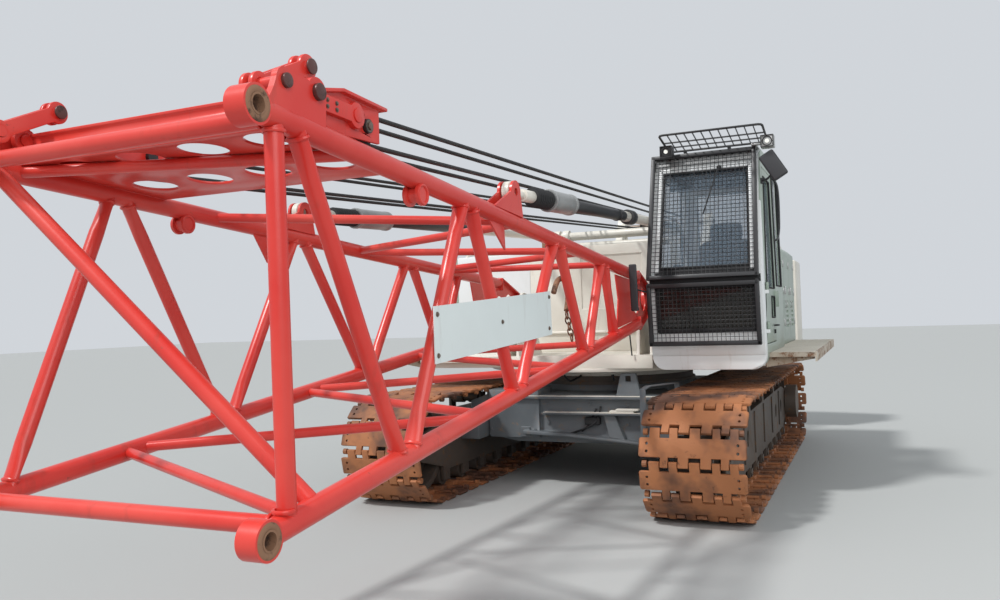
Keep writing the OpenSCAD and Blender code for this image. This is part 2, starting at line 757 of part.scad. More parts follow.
// a foot from a pillar's skin to the guard, seated along the pillar's slope
module guard_foot(line, t, hand, lean) {
    y = cab_inner_y + cab_width / 2 + hand * (cab_width / 2 - 22 - guard_tube / 2 - lean * t);
    low = line == "upper" ? shield(t - 0.02) : lower_shield(t - 0.03);
    high = line == "upper" ? shield(t + 0.02) : lower_shield(t + 0.03);
    xz_slab(y - guard_tube / 3, y + guard_tube / 3)
        polygon([low + [0.5, 0], high + [0.5, 0], high + [guard_off - 8, 0], low + [guard_off - 8, 0]]);
}

module cab_guard() {
    half = cab_width / 2 - 22;
    run = guard_mid - guard_low;
    color(black) placed() {
        guard_panel(guard_low, guard_mid - run / norm(run) * 25, half, half, 5);
        guard_panel(guard_mid + [-4, 14], guard_top, half, half - cab_lean, 9);
        for (hand = HANDS) {
            guard_foot("lower", 0.08, hand, 0);
            guard_foot("lower", 0.92, hand, 0);
            guard_foot("upper", 0.05, hand, cab_lean);
            guard_foot("upper", 0.95, hand, cab_lean);
        }
    }
}

// Visor: a ladder of bars that rises forward from the roof's front edge
visor_back = [cab_nose_x - 340, cab_roof_z + 36];
visor_front = [cab_nose_x + 60, cab_roof_z + 115];
visor_columns = 8;
visor_rows = 2;

module cab_visor() {
    color(black) placed() {
        run = visor_front - visor_back;
        length = norm(run);
        y0 = cab_inner_y + 135;
        y1 = cab_outer_y + 57;
        translate([visor_back[0], 0, visor_back[1]]) rotate([0, -atan2(run[1], run[0]), 0]) {
            for (i = [0 : visor_columns]) {
                y = mix(y0, y1 - 16, i / visor_columns);
                block([0, y, 0], [length, y + 16, 16]);
            }
            for (i = [0 : visor_rows + 1]) {
                x = mix(0, length - 16, i / (visor_rows + 1));
                block([x, y0, 0], [x + 16, y1, 16]);
            }
        }
        // feet on the roof
        for (y = [cab_inner_y + 260, cab_outer_y - 240])
            block([visor_back[0] - 80, y, cab_roof_z + seat], [visor_back[0] + 20, y + 40, cab_roof_z + 60]);
    }
}

module work_lamps() {
    color(steel) placed() for (y = [cab_inner_y + 169, cab_outer_y + 66]) {
        x = cab_nose_x - 180;
        z = cab_roof_z + 10;
        difference() {
            block([x, y - 52, z - 50], [x + 95, y + 52, z + 50]);
            block([x + 80, y - 44, z - 42], [x + 100, y + 44, z + 42]);
        }
        // reflector glass and the bracket back to the roof
        block([x + 79, y - 44 + seat, z - 42 + seat], [x + 88, y + 44 - seat, z + 42 - seat]);
        foot = min(y, cab_outer_y - cab_lean - 30);
        block([x - 230, foot - 20, cab_roof_z + seat], [x + 20, foot + 20, cab_roof_z + 14]);
        block([x - 30, foot - 20, cab_roof_z + seat], [x + 20, y + 20, cab_roof_z + 14]);
    }
}

// the cab's left skin at a height above its waist
function left_skin(z) = cab_outer_y - cab_lean * (z - cab_nose_z) / (cab_roof_z - cab_nose_z);

module mirrors() {
    color(black) placed() {
        // left mirror on its arm, from a foot on the windshield's pillar
        low = cab_roof_z - 310;
        x = shield(0.75)[0] - 70;
        yz_slab(x, x + 40)
            polygon([[left_skin(low) + seat, low], [left_skin(low + 50) + seat, low + 50],
                     [left_skin(low + 50) + 22, low + 50], [left_skin(low) + 22, low]]);
        bar([x + 20, left_skin(low) + 14, low + 25], [cab_nose_x - 105, cab_outer_y + 112, low + 75], 16);
        translate([cab_nose_x - 115, cab_outer_y + 107, low + 120]) rotate([31, 0, 0])
            translate([0, -65, -119]) cube([40, 130, 238]);
        // right mirror on the boom's side of the cab
        bar([cab_nose_x - 120, cab_inner_y - 6 - seat, 1710], [cab_nose_x + 390, cab_inner_y - 20, 1740], 12);
        translate([cab_nose_x + 372, cab_inner_y - 48, 1560]) rotate([0, 5, 0]) cube([26, 66, 375]);
    }
}

module cab_seat() {
    color(black) placed() {
        y = cab_inner_y + cab_width / 2;
        block([330, y - 180, deck_top + cab_floor], [700, y + 180, deck_top + 300]);
        block([300, y - 250, deck_top + 300], [800, y + 250, deck_top + 430]);
        xz_slab(y - 250, y + 250)
            polygon([[300, deck_top + 430], [430, deck_top + 430], [340, deck_top + 1010], [230, deck_top + 1010]]);
        xz_slab(y - 140, y + 140)
            polygon([[240, deck_top + 1010], [330, deck_top + 1010], [300, deck_top + 1180], [225, deck_top + 1180]]);
    }
}

module cab_console() {
    color(steel) placed() {
        y = cab_inner_y + cab_width / 2;
        low = deck_top + cab_floor;
        // lever boxes on both sides of the seat
        for (side = HANDS) {
            block([820, y + side * 330 - 70, low], [1080, y + side * 330 + 70, low + 420]);
            for (i = [0 : 2])
                bar([870 + i * 80, y + side * 330, low + 419], [850 + i * 80, y + side * 330, low + 700], 22);
        }
        // pedals
        for (i = [-1 : 1])
            xz_slab(y + i * 130 - 45, y + i * 130 + 45)
                polygon([[1120, low], [1140, low], [1270, low + 150], [1250, low + 150]]);
    }
}

// Machinery houses: shells with door panels, open underneath where they stand on the deck

house_top = deck_top + house_height;
house_inner_y = 745;
house_rear_x = -1750;

module house(x1, hand) {
    y0 = house_inner_y;
    y1 = house_half_width;
    chamfer = 60;
    mirror([0, hand > 0 ? 0 : 1, 0]) difference() {
        union() {
            yz_slab(house_rear_x, x1)
                polygon([[y0, deck_top], [y1, deck_top], [y1, house_top - chamfer], [y1 - chamfer, house_top], [y0, house_top]]);
        }
        yz_slab(house_rear_x + house_wall, x1 - house_wall)
            polygon([[y0 + house_wall, deck_top - 1], [y1 - house_wall, deck_top - 1],
                     [y1 - house_wall, house_top - chamfer - 20], [y1 - chamfer - 10, house_top - house_wall],
                     [y0 + house_wall, house_top - house_wall]]);
        // door seams and louvres on the outer side
        doors = 3;
        for (i = [0 : doors]) {
            x = mix(house_rear_x + 60, x1 - 60, i / doors);
            block([x - 6, y1 - 10, deck_top + 60], [x + 6, y1 + 1, house_top - 120]);
        }
        for (i = [0 : doors - 1], j = [0 : 5]) {
            x = mix(house_rear_x + 60, x1 - 60, (i + 0.5) / doors);
            z = deck_top + 170 + j * 50;
            block([x - 150, y1 - 14, z], [x + 150, y1 + 1, z + 22]);
        }
    }
}

module house_left() { color(cream) placed() house(-40, 1); }
module house_right() { color(cream) placed() house(420, -1); }

module front_cover() {
    color(cream) placed() {
        x = 380;
        difference() {
            block([x, -house_inner_y + seat, deck_top], [x + 40, 545, house_top + 40]);
            block([x + 28, -200, deck_top + 420], [x + 41, 420, house_top - 60]);
        }
        block([x + 39, -690, deck_top + 180], [x + 60, 530, deck_top + 200]);
    }
}

module engine() {
    color(steel) placed() block([-1500, -1500, deck_top], [-150, -860, deck_top + 820]);
}

module exhaust() {
    color(rust) placed() {
        x = -1250;
        y = -1200;
        difference() {
            union() {
                translate([x, y, house_top]) cylinder(h = 330, r = 45);
                translate([x, y, house_top]) cylinder(h = 18, r = 80);
            }
            translate([x, y, house_top + 60]) cylinder(h = 300, r = 38);
        }
    }
}

module counterweight() {
    color(cream) placed() {
        low = deck_bottom + 40;
        front = deck_rear;
        difference() {
            intersection() {
                block([-tail_radius, -1560, low], [front, 1560, low + counterweight_height]);
                translate([tail_radius * 0.35, 0, low - 1]) cylinder(h = counterweight_height + 2, r = tail_radius * 1.35, $fn = 120);
            }
            // lifting pockets and the split between two slabs
            block([-tail_radius - 1, -1600, low + 520], [-tail_radius + 70, 1600, low + 534]);
            for (y = [-1100, 1100])
                block([-tail_radius + 300, y - 60, low + counterweight_height - 50], [-tail_radius + 500, y + 60, low + counterweight_height + 1]);
        }
    }
}

// Gantry: front and rear legs to the sheave shaft, with the backstop stand ahead of the drums

gantry_y = 560;
leg = 90;

module strut(a, b, y, w) {
    // a square leg between two points in X and Z at a height over the deck
    run = b - a;
    translate([a[0], y, a[1]]) rotate([0, -atan2(run[1], run[0]), 0])
        translate([0, -w / 2, -w / 2]) cube([norm(run), w, w]);
}

module gantry() {
    color(cream) placed() {
        head = [-gantry_back, gantry_height];
        difference() {
            union() {
                for (hand = HANDS) {
                    y = hand * gantry_y;
                    strut([-900, deck_top + leg / 2], head, y, leg);
                    strut([deck_rear + 60, deck_top + leg / 2], head, y, leg - 14);
                    across(head[0], head[1], y - leg / 2 - 8, y + leg / 2 + 8, 110);
                    block([-1020, y - 80, deck_top], [-800, y + 80, deck_top + 130]);
                    block([deck_rear + 5, y - 80, deck_top], [deck_rear + 160, y + 80, deck_top + 130]);
                }
                block([head[0] - 40, -gantry_y, head[1] - 250], [head[0] + 40, gantry_y, head[1] - 180]);
                // backstop stand: posts, pivot tube and lower tie tube
                for (hand = HANDS) {
                    y = hand * stand_y;
                    block([backstop_pivot_x - 45, y - 35, deck_top], [backstop_pivot_x + 45, y + 35, backstop_pivot_z - 30]);
                    across(backstop_pivot_x, backstop_pivot_z, y - 35, y + 35, 70);
                    xz_slab(y - 12, y + 12)
                        polygon([[backstop_pivot_x, deck_top + 900], [backstop_pivot_x - 420, deck_top + 240],
                                 [backstop_pivot_x - 340, deck_top + 240], [backstop_pivot_x, deck_top + 780]]);
                    block([backstop_pivot_x - 430, y - 35, deck_top], [backstop_pivot_x - 330, y + 35, deck_top + 260]);
                }
                across(backstop_pivot_x, backstop_pivot_z, -backstop_y - 44, backstop_y + 44, pivot_tube_radius - running);
                across(backstop_pivot_x, backstop_pivot_z - 110, -stand_y, stand_y, 37);
            }
            across(head[0], head[1], -gantry_y - 100, gantry_y + 100, sheave_shaft + seat);
        }
    }
}

// Places of the four hoist rope sheaves across the machine, at the boom's end and at the gantry
equalizer_sheave_y = [-650, -530, 530, 650];
gantry_sheave_y = [-300, -120, 120, 300];
sheave_half = 20;
sheave_shaft = 28;
equalizer_pin_x = boom_end_x - 740;
equalizer_pin_z = 2310;

module sheave_profile() {
    groove = rope_diameter / 2 + 4.5;
    polygon([
        [sheave_shaft, -30], [42, -30], [42, -sheave_half], [sheave_radius, -sheave_half],
        [sheave_radius, -groove], [sheave_groove_radius, -groove], [sheave_groove_radius, groove],
        [sheave_radius, groove], [sheave_radius, sheave_half], [42, sheave_half], [42, 30], [sheave_shaft, 30]
    ]);
}

module sheave_at(x, y, z) {
    translate([x, y, z]) rotate([90, 0, 0]) rotate_extrude($fn = 60) sheave_profile();
}

module gantry_sheaves() {
    color(steel) placed() {
        for (y = gantry_sheave_y) sheave_at(-gantry_back, y, gantry_height);
        across(-gantry_back, gantry_height, -gantry_y - leg / 2 - 30, gantry_y + leg / 2 + 30, sheave_shaft);
    }
}

module catwalks() {
    color(cream) placed() for (hand = HANDS) mirror([0, hand > 0 ? 0 : 1, 0]) {
        y0 = house_half_width;
        y1 = house_half_width + catwalk_width;
        difference() {
            block([-1750, y0, deck_top - 40], [1080, y1, deck_top]);
            for (i = [0 : 13], j = [0 : 2]) {
                x = -1650 + i * 190;
                block([x, y0 + 70 + j * 110, deck_top - 41], [x + 130, y0 + 145 + j * 110, deck_top + 1]);
            }
        }
        // outer edge strip and the gussets under the walk
        block([-1750, y1 - 12, deck_top - 80], [1080, y1, deck_top - 39]);
        for (x = [-1600, -700, 240, 1000])
            yz_slab(x, x + 12) polygon([[y0, deck_top - 130], [y1 - 20, deck_top - 60], [y1 - 20, deck_top - 39], [y0, deck_top - 39]]);
    }
}

// Boom: chords run straight from the foot to the end, lines in height and width

function along(x) = (x - foot_pin_x) / boom_length;
function half_width_at(x) = mix(boom_foot_half_width, boom_end_half_width, along(x));
function top_at(x) = mix(foot_pin_z + boom_foot_depth / 2, boom_end_bottom + boom_end_depth, along(x));
function bottom_at(x) = mix(foot_pin_z - boom_foot_depth / 2, boom_end_bottom, along(x));
function top_point(x, hand) = [x, hand * half_width_at(x), top_at(x)];
function bottom_point(x, hand) = [x, hand * half_width_at(x), bottom_at(x)];
function chord_point(x, hand, upper) = upper ? top_point(x, hand) : bottom_point(x, hand);

chord_start = foot_pin_x + 420;
chord_end = boom_end_x - 50;

// a chord tube, cut upright where it meets the foot plate
module chord(hand, upper) {
    difference() {
        bar(chord_point(chord_start - 40, hand, upper), chord_point(chord_end, hand, upper), chord_diameter);
        block([chord_start - 200, -1000, 1000], [chord_start, 1000, 2300]);
    }
}

// room that a chord takes out of the lacing
module chord_room(hand, upper) {
    bar(chord_point(chord_start - 200, hand, upper), chord_point(boom_end_x, hand, upper), chord_diameter + 2 * seat);
}

// eye at the end of a chord, before its bore is cut
module boom_eye(hand, upper) {
    p = chord_point(boom_end_x, hand, upper);
    across(p[0], p[2], p[1] - eye_width / 2, p[1] + eye_width / 2, eye_radius);
}

backstop_eye_x = foot_pin_x + backstop_eye_along;
backstop_eye_z = foot_pin_z + backstop_eye_up;
backstop_fork = 36;
equalizer_lug_x = boom_end_x - 322;
equalizer_lug_z = 2339;
link_pin_x = boom_end_x - 150;
link_pin_z = 2338;

module top_chords() {
    color(red) placed() for (hand = HANDS) {
        difference() {
            union() {
                chord(hand, true);
                boom_eye(hand, true);
                // lug plate of the equalizer and the pendant links, standing on the chord
                y = half_width_at(equalizer_lug_x) + 14;
                xz_slab(hand > 0 ? y : -y - 24, hand > 0 ? y + 24 : -y) {
                    polygon([[boom_end_x - 40, top_at(boom_end_x)], [link_pin_x + 60, link_pin_z - 30],
                             [link_pin_x + 36, link_pin_z + 30], [equalizer_lug_x + 60, equalizer_lug_z + 34],
                             [equalizer_lug_x - 50, equalizer_lug_z], [equalizer_lug_x - 42, top_at(equalizer_lug_x)]]);
                    translate([equalizer_lug_x, equalizer_lug_z]) circle(r = 52);
                    translate([link_pin_x, link_pin_z]) circle(r = 46);
                }
            }
            across(boom_end_x, top_at(boom_end_x), -1000, 1000, eye_bore);
        }
        // pins of the equalizer arm and of the pendant link, reaching inwards from the lug
        pin_y = half_width_at(equalizer_lug_x) + 20;
        across(equalizer_lug_x, equalizer_lug_z, hand > 0 ? pin_y - 62 : -pin_y - 34, hand > 0 ? pin_y + 34 : -pin_y + 62, 26);
        across(link_pin_x, link_pin_z, hand > 0 ? pin_y - 145 : -pin_y - 30, hand > 0 ? pin_y + 30 : -pin_y + 145, 22);
        // backstop fork on the chord
        centre = hand * half_width_at(backstop_eye_x);
        for (side = HANDS)
            difference() {
                xz_slab(centre + side * backstop_fork - 7, centre + side * backstop_fork + 7) {
                    polygon([[backstop_eye_x - 90, top_at(backstop_eye_x - 90) + 28], [backstop_eye_x - 60, backstop_eye_z],
                             [backstop_eye_x + 60, backstop_eye_z], [backstop_eye_x + 280, top_at(backstop_eye_x + 280) + 28]]);
                    translate([backstop_eye_x, backstop_eye_z]) circle(r = 62);
                }
                across(backstop_eye_x, backstop_eye_z, centre - 100, centre + 100, 22);
            }
        // round rope guide boss under the chord
        guide = top_point(boom_end_x - (hand > 0 ? 1078 : 1200), hand);
        across(guide[0], guide[2] - 70, guide[1] - 30, guide[1] + 30, 34);
        across(guide[0], guide[2] - 70, guide[1] - 36, guide[1] - 22, 48);
        across(guide[0], guide[2] - 70, guide[1] + 22, guide[1] + 36, 48);
    }
}

module bottom_chords() {
    color(red) placed() for (hand = HANDS) {
        difference() {
            union() {
                chord(hand, false);
                boom_eye(hand, false);
            }
            across(boom_end_x, bottom_at(boom_end_x), -1000, 1000, eye_bore);
        }
    }
}

// Foot plates: thick foot with the pin bore, and a thinner web with slots between the chords
foot_web_end = foot_pin_x + 1010;
foot_web = 30;

module foot_plates() {
    color(red) placed() for (hand = HANDS) {
        y = hand * boom_foot_half_width;
        gap = chord_diameter / 2 + seat;
        difference() {
            union() {
                xz_slab(y - foot_plate / 2, y + foot_plate / 2) {
                    polygon([[foot_pin_x, foot_pin_z + 105], [chord_start - seat, top_at(chord_start) + 50],
                             [chord_start - seat, bottom_at(chord_start) - 50], [foot_pin_x, foot_pin_z - 105]]);
                    translate([foot_pin_x, foot_pin_z]) circle(r = 105);
                }
                xz_slab(y - foot_web / 2, y + foot_web / 2)
                    polygon([[chord_start - 20, top_at(chord_start) - gap - 3], [foot_web_end, top_at(foot_web_end) - gap - 3],
                             [foot_web_end - 60, foot_pin_z], [foot_web_end, bottom_at(foot_web_end) + gap + 3],
                             [chord_start - 20, bottom_at(chord_start) + gap + 3]]);
            }
            across(foot_pin_x, foot_pin_z, y - 100, y + 100, foot_pin_radius);
            // slots through the web
            for (x = [chord_start + 110, chord_start + 290]) {
                block([x - 28, y - 60, foot_pin_z - 60], [x + 28, y + 60, foot_pin_z + 60]);
                for (z = [foot_pin_z - 60, foot_pin_z + 60]) across(x, z, y - 60, y + 60, 28);
            }
        }
    }
}

// Zigzag lacing: stations from the boom's end to its foot, each next one on the other chord
left_side_stations = [6170, 5480, 4820, 4250, 3510, 2960, 2490, 2180];
right_side_stations = [6170, 5600, 4930, 4280, 3600, 3010, 2540, 2200];
lower_plan_stations = [6200, 5540, 4770, 4200, 3500, 2900, 2430];
upper_plan_stations = [6100, 5720];
upper_rear_stations = [5000, 4200, 3620, 3000, 2500, 2250];
tube_spread = 78;

// Lacing tubes stand this far beside the plane of the chords' middle lines
lacing_aside = 0.6;

// a zigzag of tubes, each end moved apart from its neighbour's along the chord, less its children
module zigzag(stations, start, end, d) {
    for (i = [0 : len(stations) - 2]) {
        a = stations[i] - (i == 0 ? 0 : tube_spread / 2);
        b = stations[i + 1] + tube_spread / 2;
        difference() {
            bar(i % 2 == 0 ? start(a) : end(a), i % 2 == 0 ? end(b) : start(b), d);
            children();
        }
    }
}

module side_zigzag(stations, hand, upper_first) {
    aside = [0, lacing_aside, 0];
    zigzag(stations, function (x) chord_point(x, hand, upper_first) + aside,
           function (x) chord_point(x, hand, !upper_first) + aside, side_lacing_diameter) {
        chord_room(hand, true);
        chord_room(hand, false);
    }
}

module plan_zigzag(stations, hand, upper) {
    zigzag(stations, function (x) chord_point(x, hand, upper), function (x) chord_point(x, -hand, upper),
           plan_lacing_diameter) {
        chord_room(1, upper);
        chord_room(-1, upper);
    }
}

module side_lacing() {
    color(red) placed() {
        side_zigzag(left_side_stations, 1, true);
        side_zigzag(right_side_stations, -1, false);
    }
}

module plan_lacing() {
    color(red) placed() {
        plan_zigzag(lower_plan_stations, 1, false);
        plan_zigzag(upper_plan_stations, -1, true);
        plan_zigzag(upper_rear_stations, -1, true);
    }
}

module end_frame() {
    color(red) placed() {
        x = boom_end_x - 124;
        difference() {
            union() {
                for (hand = HANDS) bar(bottom_point(x - 16, hand), top_point(x, hand), side_lacing_diameter);
                bar(top_point(x, -1), top_point(x, 1), side_lacing_diameter);
                bar(bottom_point(x, -1), bottom_point(x, 1), side_lacing_diameter);
                bar(top_point(x - 75, -1), bottom_point(x - 176, 1), side_lacing_diameter);
            }
            for (hand = HANDS, upper = [true, false]) chord_room(hand, upper);
        }
    }
}

// Plate between the top chords, lightened by two rows of round holes
plate_x0 = 5350;
plate_x1 = 6110;
plate_low = 25;
plate_thickness = 12;

module top_plate() {
    color(red) placed() {
        edge = sqrt(pow(chord_diameter / 2, 2) - pow(plate_low, 2)) + seat;
        slope = atan((top_at(boom_end_x) - top_at(foot_pin_x)) / boom_length);
        translate([plate_x0, 0, top_at(plate_x0)]) rotate([0, -slope, 0]) translate([0, 0, plate_low])
            linear_extrude(plate_thickness) difference() {
                polygon([[0, -half_width_at(plate_x0) + edge], [plate_x1 - plate_x0, -half_width_at(plate_x1) + edge],
                         [plate_x1 - plate_x0, half_width_at(plate_x1) - edge], [0, half_width_at(plate_x0) - edge]]);
                for (x = [250, 630], y = [-480, -160, 160, 480]) translate([x, y]) circle(r = 98);
            }
    }
}

// Equalizer: two sheave boxes on arms, joined by a cross beam
arm_thickness = 26;
box_inner_y = 442;

module equalizer() {
    color(red) placed() {
        difference() {
            union() {
                outer = half_width_at(equalizer_lug_x) - 36;
                rear = equalizer_pin_x - 92;
                front = equalizer_pin_x + 274;
                arm_end = [equalizer_pin_x + 99, equalizer_pin_z + 20];
                for (hand = HANDS) mirror([0, hand > 0 ? 0 : 1, 0]) {
                    // side plates of the sheave box
                    for (y = [outer - 13, box_inner_y])
                        xz_slab(y, y + 14)
                            polygon([[rear, equalizer_pin_z - 55], [front, equalizer_pin_z - 69], [front, equalizer_pin_z + 82],
                                     [rear + 274, equalizer_pin_z + 98], [rear, equalizer_pin_z + 88]]);
                    // bent roof plate
                    xz_slab(box_inner_y, outer + arm_thickness)
                        polygon([[front + 72, equalizer_pin_z + 56], [front + 72, equalizer_pin_z + 70],
                                 [front - 92, equalizer_pin_z + 106], [rear - 29, equalizer_pin_z + 93],
                                 [rear - 29, equalizer_pin_z + 79], [front - 92, equalizer_pin_z + 92]]);
                    // arm with a round head at both ends
                    xz_slab(outer, outer + arm_thickness) {
                        polygon([[equalizer_lug_x, equalizer_lug_z - 31], [equalizer_lug_x, equalizer_lug_z + 31],
                                 [arm_end[0], arm_end[1] + 31], [arm_end[0], arm_end[1] - 31]]);
                        translate([equalizer_lug_x, equalizer_lug_z]) circle(r = 52);
                        translate(arm_end) circle(r = 50);
                    }
                }
                block([equalizer_pin_x + 270, -outer - 4, equalizer_pin_z - 30], [equalizer_pin_x + 400, outer + 4, equalizer_pin_z + 60]);
            }
            across(equalizer_pin_x, equalizer_pin_z, -1000, 1000, sheave_shaft + seat);
            across(equalizer_lug_x, equalizer_lug_z, -1000, 1000, 26 + seat);
        }
    }
}

module equalizer_sheaves() {
    color(black) placed() for (hand = HANDS) {
        for (y = equalizer_sheave_y)
            if (y * hand > 0) sheave_at(equalizer_pin_x, y, equalizer_pin_z);
        outer = half_width_at(equalizer_lug_x) - 22;
        across(equalizer_pin_x, equalizer_pin_z, hand > 0 ? 426 : -outer, hand > 0 ? outer : -426, sheave_shaft);
    }
}

module pendant_links() {
    top = [link_pin_x - 260, link_pin_z + 126];
    low = [link_pin_x, link_pin_z];
    run = top - low;
    side = [-run[1], run[0]] / norm(run) * 30;
    color(red) placed() for (hand = HANDS) {
        for (y = [612, 652])
            difference() {
                xz_slab(hand > 0 ? y : -y - 18, hand > 0 ? y + 18 : -y) {
                    polygon([low - side, low + side, top + side, top - side]);
                    translate(low) circle(r = 46);
                    translate(top) circle(r = 47);
                }
                across(low[0], low[1], -1000, 1000, 22 + seat);
            }
        // pin through the upper eyes
        across(top[0], top[1], hand > 0 ? 600 : -682, hand > 0 ? 682 : -600, 24);
    }
}

// Blank plate hung on the left side's lacing
module sign_plate() {
    taper = atan((boom_end_half_width - boom_foot_half_width) / boom_length);
    out = side_lacing_diameter / 2 + lacing_aside + seat;
    color([0.75, 0.78, 0.78]) placed()
        translate([foot_pin_x, boom_foot_half_width, 0]) rotate([0, 0, taper]) translate([-foot_pin_x, 0, 0])
            xz_slab(out, out + 4) polygon([[5260, 1350], [5260, 1600], [3750, 1690], [3740, 1432]]);
}

// Backstops: a rod on the stand's pivot tube, and a sprung tube that reaches the boom's fork

backstop_y = half_width_at(backstop_eye_x);
backstop_length = norm([backstop_eye_x - backstop_pivot_x, backstop_eye_z - backstop_pivot_z]);
backstop_angle = atan2(backstop_eye_z - backstop_pivot_z, backstop_eye_x - backstop_pivot_x);
backstop_collar = 2066;
backstop_rod_end = 2320;

// drawn along X from the pivot, then laid on the line to the boom's fork
module on_backstop(hand) {
    translate([backstop_pivot_x, hand * backstop_y, backstop_pivot_z]) rotate([0, -backstop_angle, 0]) children();
}

module along_x(x0, x1, r) {
    translate([x0, 0, 0]) rotate([0, 90, 0]) cylinder(h = x1 - x0, r = r);
}

module backstop_rods() {
    color(cream) placed() for (hand = HANDS) on_backstop(hand) difference() {
        union() {
            along_x(0, backstop_rod_end, backstop_rod_radius);
            rotate([90, 0, 0]) translate([0, 0, -40]) cylinder(h = 80, r = 70);
        }
        rotate([90, 0, 0]) translate([0, 0, -50]) cylinder(h = 100, r = pivot_tube_radius);
    }
}

module backstop_tubes() {
    neck = backstop_length - 190;
    color(black) placed() for (hand = HANDS) on_backstop(hand) {
        difference() {
            union() {
                along_x(backstop_collar, backstop_collar + 24, 64);
                along_x(backstop_collar + 24, backstop_collar + 420, backstop_tube_radius - 5);
                along_x(backstop_collar + 420, neck, backstop_tube_radius);
                // wider spring housing
                along_x(backstop_length - 990, backstop_length - 560, 70);
            }
            along_x(backstop_collar - 1, neck - 60, backstop_rod_radius + sliding);
        }
        // flat neck and eye
        block([neck - 20, -23, -42], [backstop_length, 23, 42]);
        rotate([90, 0, 0]) translate([backstop_length, 0, -23]) cylinder(h = 46, r = 60);
    }
}

// Boom hoist ropes between the equalizer's and the gantry's sheaves, top and bottom parts
module hoist_ropes() {
    rope_r = rope_diameter / 2;
    lead = sheave_groove_radius + rope_r + seat;
    color(black) placed() for (i = [0 : 3], part = HANDS)
        bar([equalizer_pin_x, equalizer_sheave_y[i], equalizer_pin_z + part * lead],
            [-gantry_back, gantry_sheave_y[i], gantry_height + part * lead], rope_diameter);
}

car_body();
side_frames();
track_left();
track_right();
idlers();
sprockets();
track_rollers();
slew_ring();
deck();
cab_shell();
cab_glass();
cab_guard();
cab_visor();
cab_seat();
cab_console();
work_lamps();
mirrors();
house_left();
house_right();
front_cover();
engine();
exhaust();
counterweight();
gantry();
gantry_sheaves();
catwalks();
front_drum();
rear_drum();
boom_hoist_drum();
cab_door();
door_glass();
top_chords();
bottom_chords();
foot_plates();
side_lacing();
plan_lacing();
end_frame();
top_plate();
equalizer();
equalizer_sheaves();
pendant_links();
sign_plate();
backstop_rods();
backstop_tubes();
hoist_ropes();
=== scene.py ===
import math

import bpy
from mathutils import Matrix, Vector
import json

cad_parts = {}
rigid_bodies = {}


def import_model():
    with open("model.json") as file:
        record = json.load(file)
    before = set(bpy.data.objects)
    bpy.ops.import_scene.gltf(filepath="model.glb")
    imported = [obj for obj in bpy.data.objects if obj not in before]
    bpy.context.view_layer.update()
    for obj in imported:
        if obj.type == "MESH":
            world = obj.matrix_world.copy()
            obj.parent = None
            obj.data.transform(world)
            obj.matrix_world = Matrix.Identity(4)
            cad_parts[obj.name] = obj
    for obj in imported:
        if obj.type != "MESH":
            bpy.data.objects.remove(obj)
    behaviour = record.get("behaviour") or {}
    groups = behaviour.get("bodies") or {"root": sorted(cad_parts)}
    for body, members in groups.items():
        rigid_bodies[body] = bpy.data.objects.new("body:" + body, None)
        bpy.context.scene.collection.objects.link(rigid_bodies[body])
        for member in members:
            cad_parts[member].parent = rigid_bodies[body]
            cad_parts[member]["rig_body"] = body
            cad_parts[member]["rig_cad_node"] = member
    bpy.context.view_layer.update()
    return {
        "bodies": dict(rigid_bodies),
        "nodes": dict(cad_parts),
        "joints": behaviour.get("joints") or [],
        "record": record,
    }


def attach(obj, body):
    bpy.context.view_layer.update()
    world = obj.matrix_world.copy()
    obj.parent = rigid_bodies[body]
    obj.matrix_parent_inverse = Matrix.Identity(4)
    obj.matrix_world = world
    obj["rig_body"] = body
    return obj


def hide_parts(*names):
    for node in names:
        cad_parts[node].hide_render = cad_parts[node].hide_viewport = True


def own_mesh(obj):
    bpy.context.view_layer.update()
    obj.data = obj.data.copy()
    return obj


print("stage: loading the packed crane")
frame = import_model()
nodes = frame["nodes"]
slewX = -1.383  # the slewing axis in the row frame
pi = math.pi


def at(x, y, z):  # a point measured from the slewing axis at ground level
    return Vector((x + slewX, y, z))


def path(*points):  # several such points
    return [at(*point) for point in points]


left, up, ahead = Vector((0, 1, 0)), Vector((0, 0, 1)), Vector((1, 0, 0))


# small modelling helpers

def leaveEdit():
    bpy.ops.object.mode_set(mode="OBJECT")


def clearAll():
    if bpy.context.object and bpy.context.object.mode != "OBJECT":
        leaveEdit()
    bpy.ops.object.select_all(action="DESELECT")


def useOnly(obj):
    clearAll()
    obj.select_set(True)
    bpy.context.view_layer.objects.active = obj


def editAll():  # edit mode with everything selected
    bpy.ops.object.mode_set(mode="EDIT")
    bpy.ops.mesh.select_all(action="SELECT")


def faceOutwards():  # turn all faces outwards and leave edit mode
    bpy.ops.mesh.select_all(action="SELECT")
    bpy.ops.mesh.normals_make_consistent(inside=False)
    leaveEdit()


def pick(obj, kind, wanted):  # edit mode with only the faces or edges selected that pass a test
    useOnly(obj)
    bpy.ops.object.mode_set(mode="EDIT")
    bpy.ops.mesh.select_mode(type=kind)
    bpy.ops.mesh.select_all(action="DESELECT")
    leaveEdit()
    for part in obj.data.polygons if kind == "FACE" else obj.data.edges:
        part.select = wanted(part)
    bpy.ops.object.mode_set(mode="EDIT")


def roundEdges(obj, width, angle, segments=2, clamp=True):  # bevel what bends more than the angle
    bpy.ops.object.modifier_add(type="BEVEL")
    mod = obj.modifiers[-1]
    mod.width, mod.segments, mod.limit_method, mod.angle_limit = width, segments, "ANGLE", math.radians(angle)
    mod.use_clamp_overlap = clamp
    bpy.ops.object.modifier_apply(modifier=mod.name)


def bakePlace(obj):
    useOnly(obj)
    bpy.ops.object.transform_apply(location=True, rotation=True, scale=True)


def newest(name):  # the piece that an operator has just made
    obj = bpy.context.object
    obj.name = name
    return obj


